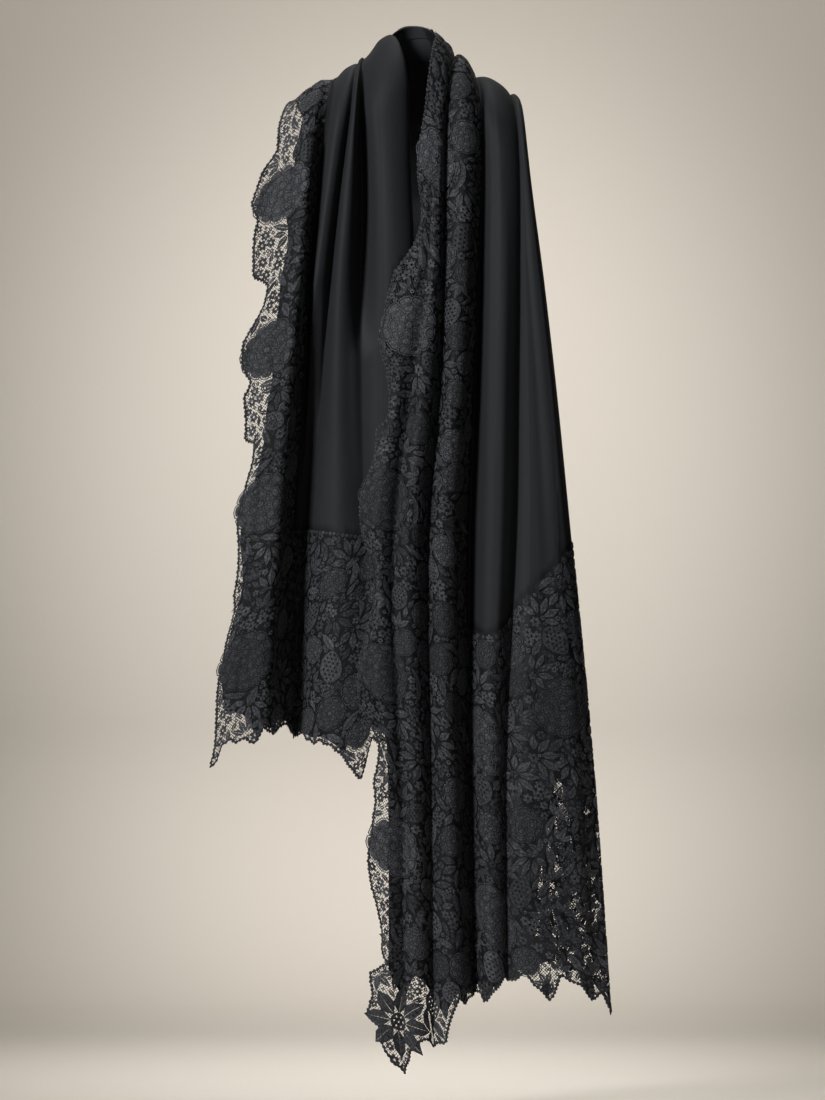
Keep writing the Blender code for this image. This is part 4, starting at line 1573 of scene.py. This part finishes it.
# %% Modifier trees
def new_tree(name, sockets):
    """An empty modifier tree with named inputs, its input sockets' ids, and its group input."""
    tree = bpy.data.node_groups.new(name, "GeometryNodeTree")
    tree.is_modifier = True
    tree.interface.new_socket("Geometry", in_out="OUTPUT", socket_type="NodeSocketGeometry")
    tree.interface.new_socket("Geometry", in_out="INPUT", socket_type="NodeSocketGeometry")
    ids = {label: tree.interface.new_socket(label, in_out="INPUT", socket_type=kind).identifier
           for label, kind in sockets.items()}
    return tree, ids, add_node(tree, "NodeGroupInput").outputs


def named(tree, attribute, data_type="FLOAT"):
    """Reads a named attribute of the points."""
    return add_node(tree, "GeometryNodeInputNamedAttribute", {"Name": attribute},
                    data_type=data_type).outputs["Attribute"]


def finish_tree(tree, geometry, given):
    """Gives each instance a tone of its own, makes it real and gives it its material."""
    tone = add_node(tree, "FunctionNodeRandomValue", {"Seed": given["Seed"]}, data_type="FLOAT")
    toned = add_node(tree, "GeometryNodeStoreNamedAttribute",
                     {"Geometry": geometry, "Name": "tone", "Value": tone.outputs[1]},
                     data_type="FLOAT", domain="INSTANCE")
    real = add_node(tree, "GeometryNodeRealizeInstances", {"Geometry": toned})
    shown = add_node(tree, "GeometryNodeSetMaterial",
                     {"Geometry": real, "Material": given["Thread"]})
    add_node(tree, "NodeGroupOutput", {"Geometry": shown})


# %% The tree that sets out motifs
def motif_tree():
    tree, ids, given = new_tree("set_out_motifs", {
        "Kinds": "NodeSocketCollection", "Thread": "NodeSocketMaterial", "Seed": "NodeSocketInt"})
    kinds = add_node(tree, "GeometryNodeCollectionInfo",
                     {"Collection": given["Kinds"], "Separate Children": True,
                      "Reset Children": True})
    turn = add_node(tree, "ShaderNodeCombineXYZ", {"Z": named(tree, "turn")})
    placed = add_node(tree, "GeometryNodeInstanceOnPoints",
                      {"Points": given["Geometry"], "Instance": kinds, "Pick Instance": True,
                       "Instance Index": named(tree, "kind", "INT"), "Rotation": turn,
                       "Scale": named(tree, "size")})
    finish_tree(tree, placed, given)
    return tree, ids


def grow(piece, tree, ids, values):
    """Runs a tree on a piece and keeps what it makes."""
    modifier = piece.modifiers.new(tree.name, "NODES")
    modifier.node_group = tree
    for label, value in values.items():
        modifier[ids[label]] = value
    depsgraph = bpy.context.evaluated_depsgraph_get()
    mesh = bpy.data.meshes.new_from_object(piece.evaluated_get(depsgraph))
    piece.modifiers.clear()
    old, piece.data = piece.data, mesh
    bpy.data.meshes.remove(old)
    mesh.name = piece.name


# %% The kinds as objects, and the motifs set out
RELIEF_LIFT = 1.0
SHARP = math.radians(38)


def hidden_piece(name, motif):
    """A motif as an object that only a tree uses."""
    piece = new_piece(name, motif.points, motif.faces)
    bpy.context.collection.objects.unlink(piece)
    return piece


def carry(piece, chart, lift):
    """Carries a flat piece to its place on the shawl, lifted by a height.

    The attribute "stitch" keeps how far each point stood out from the net while it was flat.
    """
    flat = np.empty(len(piece.data.vertices) * 3)
    piece.data.vertices.foreach_get("co", flat)
    x, y, height = flat.reshape(-1, 3).T / MM
    piece.data.vertices.foreach_set("co", (chart.lay(x, y, height + lift) * MM).ravel())
    stitch = piece.data.attributes.new("stitch", "FLOAT", "POINT")
    stitch.data.foreach_set("value", height.copy())
    piece.data.update()
    piece.data.shade_smooth()
    piece.data.set_sharp_from_angle(angle=SHARP)
    print(piece.name, len(piece.data.polygons), "faces")


thread = lace_thread()
library = bpy.data.collections.new("motif_kinds")
for number, (name, motif) in enumerate(MOTIFS.items()):
    library.objects.link(hidden_piece(f"{number:02d}_{name}", motif))
motifs, motif_ids = motif_tree()


def set_out(name, draft, panel, seed):
    """The motifs of one panel, worked and carried to their place."""
    rows = np.array([row for row in draft.set if PANELS[row[5]] == panel])
    piece = new_piece(name, np.pad(rows[:, 1:3], ((0, 0), (0, 1))), [])
    for attribute, kind, values in (("kind", "INT", rows[:, 0].astype(np.int32)),
                                    ("turn", "FLOAT", rows[:, 3]), ("size", "FLOAT", rows[:, 4])):
        layer = piece.data.attributes.new(attribute, kind, "POINT")
        layer.data.foreach_set("value", values)
    grow(piece, motifs, motif_ids, {"Kinds": library, "Thread": thread, "Seed": seed})
    carry(piece, draft.map.chart, RELIEF_LIFT)
    return piece


RELIEFS = {
    "front": set_out("front_lace_flowers", upper_draft, "front", 1),
    "long_end": set_out("long_end_lace_flowers", upper_draft, "long_end", 2),
    "edge_left": set_out("left_edge_lace_flowers", lower_draft, "edge_left", 3),
    "edge_back": set_out("back_edge_lace_flowers", lower_draft, "edge_back", 4),
    "edge_right": set_out("right_edge_lace_flowers", lower_draft, "edge_right", 5),
    "short_end": set_out("short_end_lace_flowers", lower_draft, "short_end", 6),
}

# %% [markdown]
# ## Cords
#
# A fine cord finishes every free edge, and small picots stand out from it.  It could be a swept
# curve with a modifier for the picots.  One tree that does both keeps the two together, and the
# cord is carried to its place on the folds just as the flowers were.

# %% Cords along the edges
CORD_RADIUS = 1.0
CORD_STEP = 2.3
PICOT_PITCH = 5.0


def cord_tree():
    """Runs a cord along a line, with a picot at every few millimetres beside it."""
    tree, ids, given = new_tree("cord_and_picots", {
        "Picot": "NodeSocketObject", "Thread": "NodeSocketMaterial",
        "Radius": "NodeSocketFloat", "Pitch": "NodeSocketFloat", "Seed": "NodeSocketInt"})
    line = add_node(tree, "GeometryNodeMeshToCurve", {"Mesh": given["Geometry"]})
    profile = add_node(tree, "GeometryNodeCurvePrimitiveCircle",
                       {"Resolution": 5, "Radius": given["Radius"]})
    cord = add_node(tree, "GeometryNodeCurveToMesh",
                    {"Curve": line, "Profile Curve": profile, "Fill Caps": True})
    places = add_node(tree, "GeometryNodeCurveToPoints",
                      {"Curve": line, "Length": given["Pitch"]}, mode="LENGTH")
    picot = add_node(tree, "GeometryNodeObjectInfo", {"Object": given["Picot"]})
    placed = add_node(tree, "GeometryNodeInstanceOnPoints",
                      {"Points": places, "Instance": picot.outputs["Geometry"]})
    both = add_node(tree, "GeometryNodeJoinGeometry", {"Geometry": cord})
    tree.links.new(placed.outputs["Instances"], both.inputs["Geometry"])
    finish_tree(tree, both, given)
    return tree, ids


picot = hidden_piece("picot", bead(2.3, 0.8, 0.3, 0.7))
cords, cord_ids = cord_tree()


def sew_cord(name, chart, lines, seed):
    """A cord with picots along flat lines of points, each of which starts where one ends."""
    line = np.concatenate([lines[0], *(more[1:] for more in lines[1:])])
    gone = lengths(line)
    flat = interp_points(np.arange(0.0, gone[-1], CORD_STEP), gone, line)
    piece = new_piece(name, np.pad(flat, ((0, 0), (0, 1))), [])
    piece.data.edges.add(len(flat) - 1)
    pairs = np.arange(len(flat) - 1)[:, None] + (0, 1)
    piece.data.edges.foreach_set("vertices", pairs.ravel())
    piece.data.update()
    grow(piece, cords, cord_ids, {"Picot": picot, "Thread": thread, "Radius": CORD_RADIUS * MM,
                                  "Pitch": PICOT_PITCH * MM, "Seed": seed})
    carry(piece, chart, RELIEF_LIFT + 0.3)
    print(name, "is", round(float(gone[-1])), "mm long")
    return piece


CORDS = {
    "front": sew_cord("front_lace_cord", upper_chart,
                      (front_grid[-8::-1, 0], front_grid[0], long_end_grid[0]), 7),
    "edge": sew_cord("edge_lace_cord", lower_chart,
                     (short_end_grid[0, ::-1], edge_grid[0, ::-1], edge_grid[:, 0], edge_grid[-1]),
                     8),
    "seam": sew_cord("short_end_seam", lower_chart, (short_end_grid[-1],), 9),
}
for kind in list(library.objects) + [picot]:
    bpy.data.objects.remove(kind)
bpy.data.collections.remove(library)

# %% Painted shade on the wool under the lace
UNDER_LACE = 3.5
LACE_SHADE_FADE = 2.5


def paint_shade_below_lace(piece):
    """Marks how far each point of the wool lies under lace, where its material paints shade."""
    places = [vertex.co for net in GROUNDS.values() for vertex in net.data.vertices]
    tree = KDTree(len(places))
    for number, place in enumerate(places):
        tree.insert(place, number)
    tree.balance()
    near = np.array([tree.find(vertex.co)[2] for vertex in piece.data.vertices]) / MM
    lace_shade = 1.0 - smooth_step((near - UNDER_LACE) / LACE_SHADE_FADE)
    piece.data.attributes.new("under_lace", "FLOAT", "POINT").data.foreach_set("value", lace_shade)
    print(f"{lace_shade.mean():.0%} of the wool's points lie under lace")


paint_shade_below_lace(shawl)
down, across = lengths(wool_points.transpose(1, 0, 2)).T, lengths(wool_points)
paint_uv(shawl, "cloth", np.tile(xy(across.ravel(), down.ravel()), (2, 1)))

# %% [markdown]
# ## Floor, light and camera
#
# The shawl hangs before a pale warm sweep of paper that is floor and wall in one.  Lamps could be
# points or suns.  Large soft panels are used, as in a studio, because they round the folds: the
# strongest stands at the upper left, and a weak one at the right opens the shadows.

# %% The paper sweep
FLOOR = -1.235
LIGHT_POOL_CENTRE = (0.0, 0.0, -0.62)
LIGHT_POOL_REACH = 1.25


def paper_material():
    """Seamless paper with a painted falloff of light: darker towards its corners."""
    material, tree, shader = new_material("warm_grey_paper")
    place = add_node(tree, "ShaderNodeTexCoord").outputs["Object"]
    flat = add_node(tree, "ShaderNodeMapping",
                    {"Vector": place, "Location": tuple(-v for v in LIGHT_POOL_CENTRE),
                     "Scale": (1.15, 0.0, 1.0)})
    far = add_node(tree, "ShaderNodeVectorMath", {0: flat}, operation="LENGTH").outputs["Value"]
    share = add_node(tree, "ShaderNodeMapRange",
                     {"Value": far, "From Min": 0.15, "From Max": LIGHT_POOL_REACH},
                     interpolation_type="SMOOTHERSTEP")
    # Painted light: the paper is bright round the shawl and darker further out, where less light
    # falls.
    tone = add_node(tree, "ShaderNodeMixRGB",
                    {"Fac": share, "Color1": linear("CCC6BD"), "Color2": linear("8B857D")})
    set_inputs(tree, shader, {"Base Color": tone, "Roughness": 0.9, "Specular IOR Level": 0.1})
    return material


def paper_sweep():
    steps, wall_y, radius, half = 16, 1.9, 0.4, 5.0
    angles = [0.5 * math.pi * step / steps for step in range(steps + 1)]
    bend = [(wall_y - radius + radius * math.sin(a), FLOOR + radius * (1 - math.cos(a)))
            for a in angles]
    profile = [(-4.0, FLOOR), *bend, (wall_y, 3.2)]
    points = [(x / MM, y / MM, z / MM) for y, z in profile for x in (-half, half)]
    faces = [(2 * i, 2 * i + 1, 2 * i + 3, 2 * i + 2) for i in range(len(profile) - 1)]
    new_piece("paper_sweep", points, faces, paper_material())


# %% The lamps
Lamp = namedtuple("Lamp", "name place target width height power spread colour")
LAMPS = table(
    Lamp,
    ("key_left", (-2.7, -3.0, 1.1), (0, 0, -0.38), 0.9, 1.6, 15, 60, "FFFEFD"),
    ("front_right", (1.6, -4.2, 0.4), (0, 0, -0.42), 1.6, 1.8, 0.7, 70, "FAFCFF"),
    ("overhead", (0.0, 0.7, 2.9), (0, 0.7, -1.2), 1.8, 0.6, 4.0, 44, "FFFEFC"),
    ("floor_light", (0.0, 1.6, 2.5), (0, 0.2, -1.2), 2.6, 0.3, 9.5, 27, "FFFEFC"),
    ("wall_wash", (0.0, 0.3, 1.9), (0, 1.9, -0.1), 2.6, 0.5, 31, 80, "FFFDFA"),
)


def soft_light(lamp):
    data = bpy.data.lights.new(lamp.name, "AREA")
    data.shape, data.size, data.size_y = "RECTANGLE", lamp.width, lamp.height
    data.energy = lamp.power
    data.spread = math.radians(lamp.spread)
    data.color = linear(lamp.colour)[:3]
    light = bpy.data.objects.new(lamp.name, data)
    light.location = lamp.place
    light.rotation_mode = "QUATERNION"
    aim = Vector(lamp.target) - Vector(lamp.place)
    light.rotation_quaternion = aim.to_track_quat("-Z", "Y")
    bpy.context.collection.objects.link(light)


paper_sweep()
for lamp in LAMPS:
    soft_light(lamp)
world = bpy.data.worlds.new("studio")
world.use_nodes = True
world.node_tree.nodes["Background"].inputs["Color"].default_value = linear("FAFAFC")
world.node_tree.nodes["Background"].inputs["Strength"].default_value = 0.03
scene = bpy.context.scene
scene.world = world
scene.view_settings.view_transform = "Standard"

# %% The camera
VIEW_HEIGHT = 1.32
LENS = 200.0
SENSOR = 36.0
CENTRE_X = 0.0006
CENTRE_Z = -0.570


def front_camera():
    data = bpy.data.cameras.new("front")
    data.lens, data.sensor_width = LENS, SENSOR
    data.clip_end = 60.0
    camera = bpy.data.objects.new("front", data)
    camera.location = (CENTRE_X, -VIEW_HEIGHT * LENS / SENSOR, CENTRE_Z)
    camera.rotation_euler = (0.5 * math.pi, 0.0, 0.0)
    bpy.context.collection.objects.link(camera)
    scene.camera = camera


front_camera()

# %% [markdown]
# ## Riding and hiding
#
# Everything here is soft and has one body, so every piece rides on the root.  The three cloth
# solids are hidden, because the wool stands in for them, and so are the lace solids that the
# nets and reliefs cover.

# %% Bodies and hidden solids
PIECES = [shawl, *GROUNDS.values(), *RELIEFS.values(), *CORDS.values()]
for piece in PIECES:
    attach(piece, "root")
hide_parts("cloth_left", "cloth_back", "cloth_right")
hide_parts("lace_front_right")
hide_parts("lace_end_right")
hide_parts("lace_edge_left", "lace_edge_back", "lace_edge_right")
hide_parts("lace_end_left")
triangles = {p.name: sum(len(f.vertices) - 2 for f in p.data.polygons) for p in PIECES}
print(triangles, sum(triangles.values()))
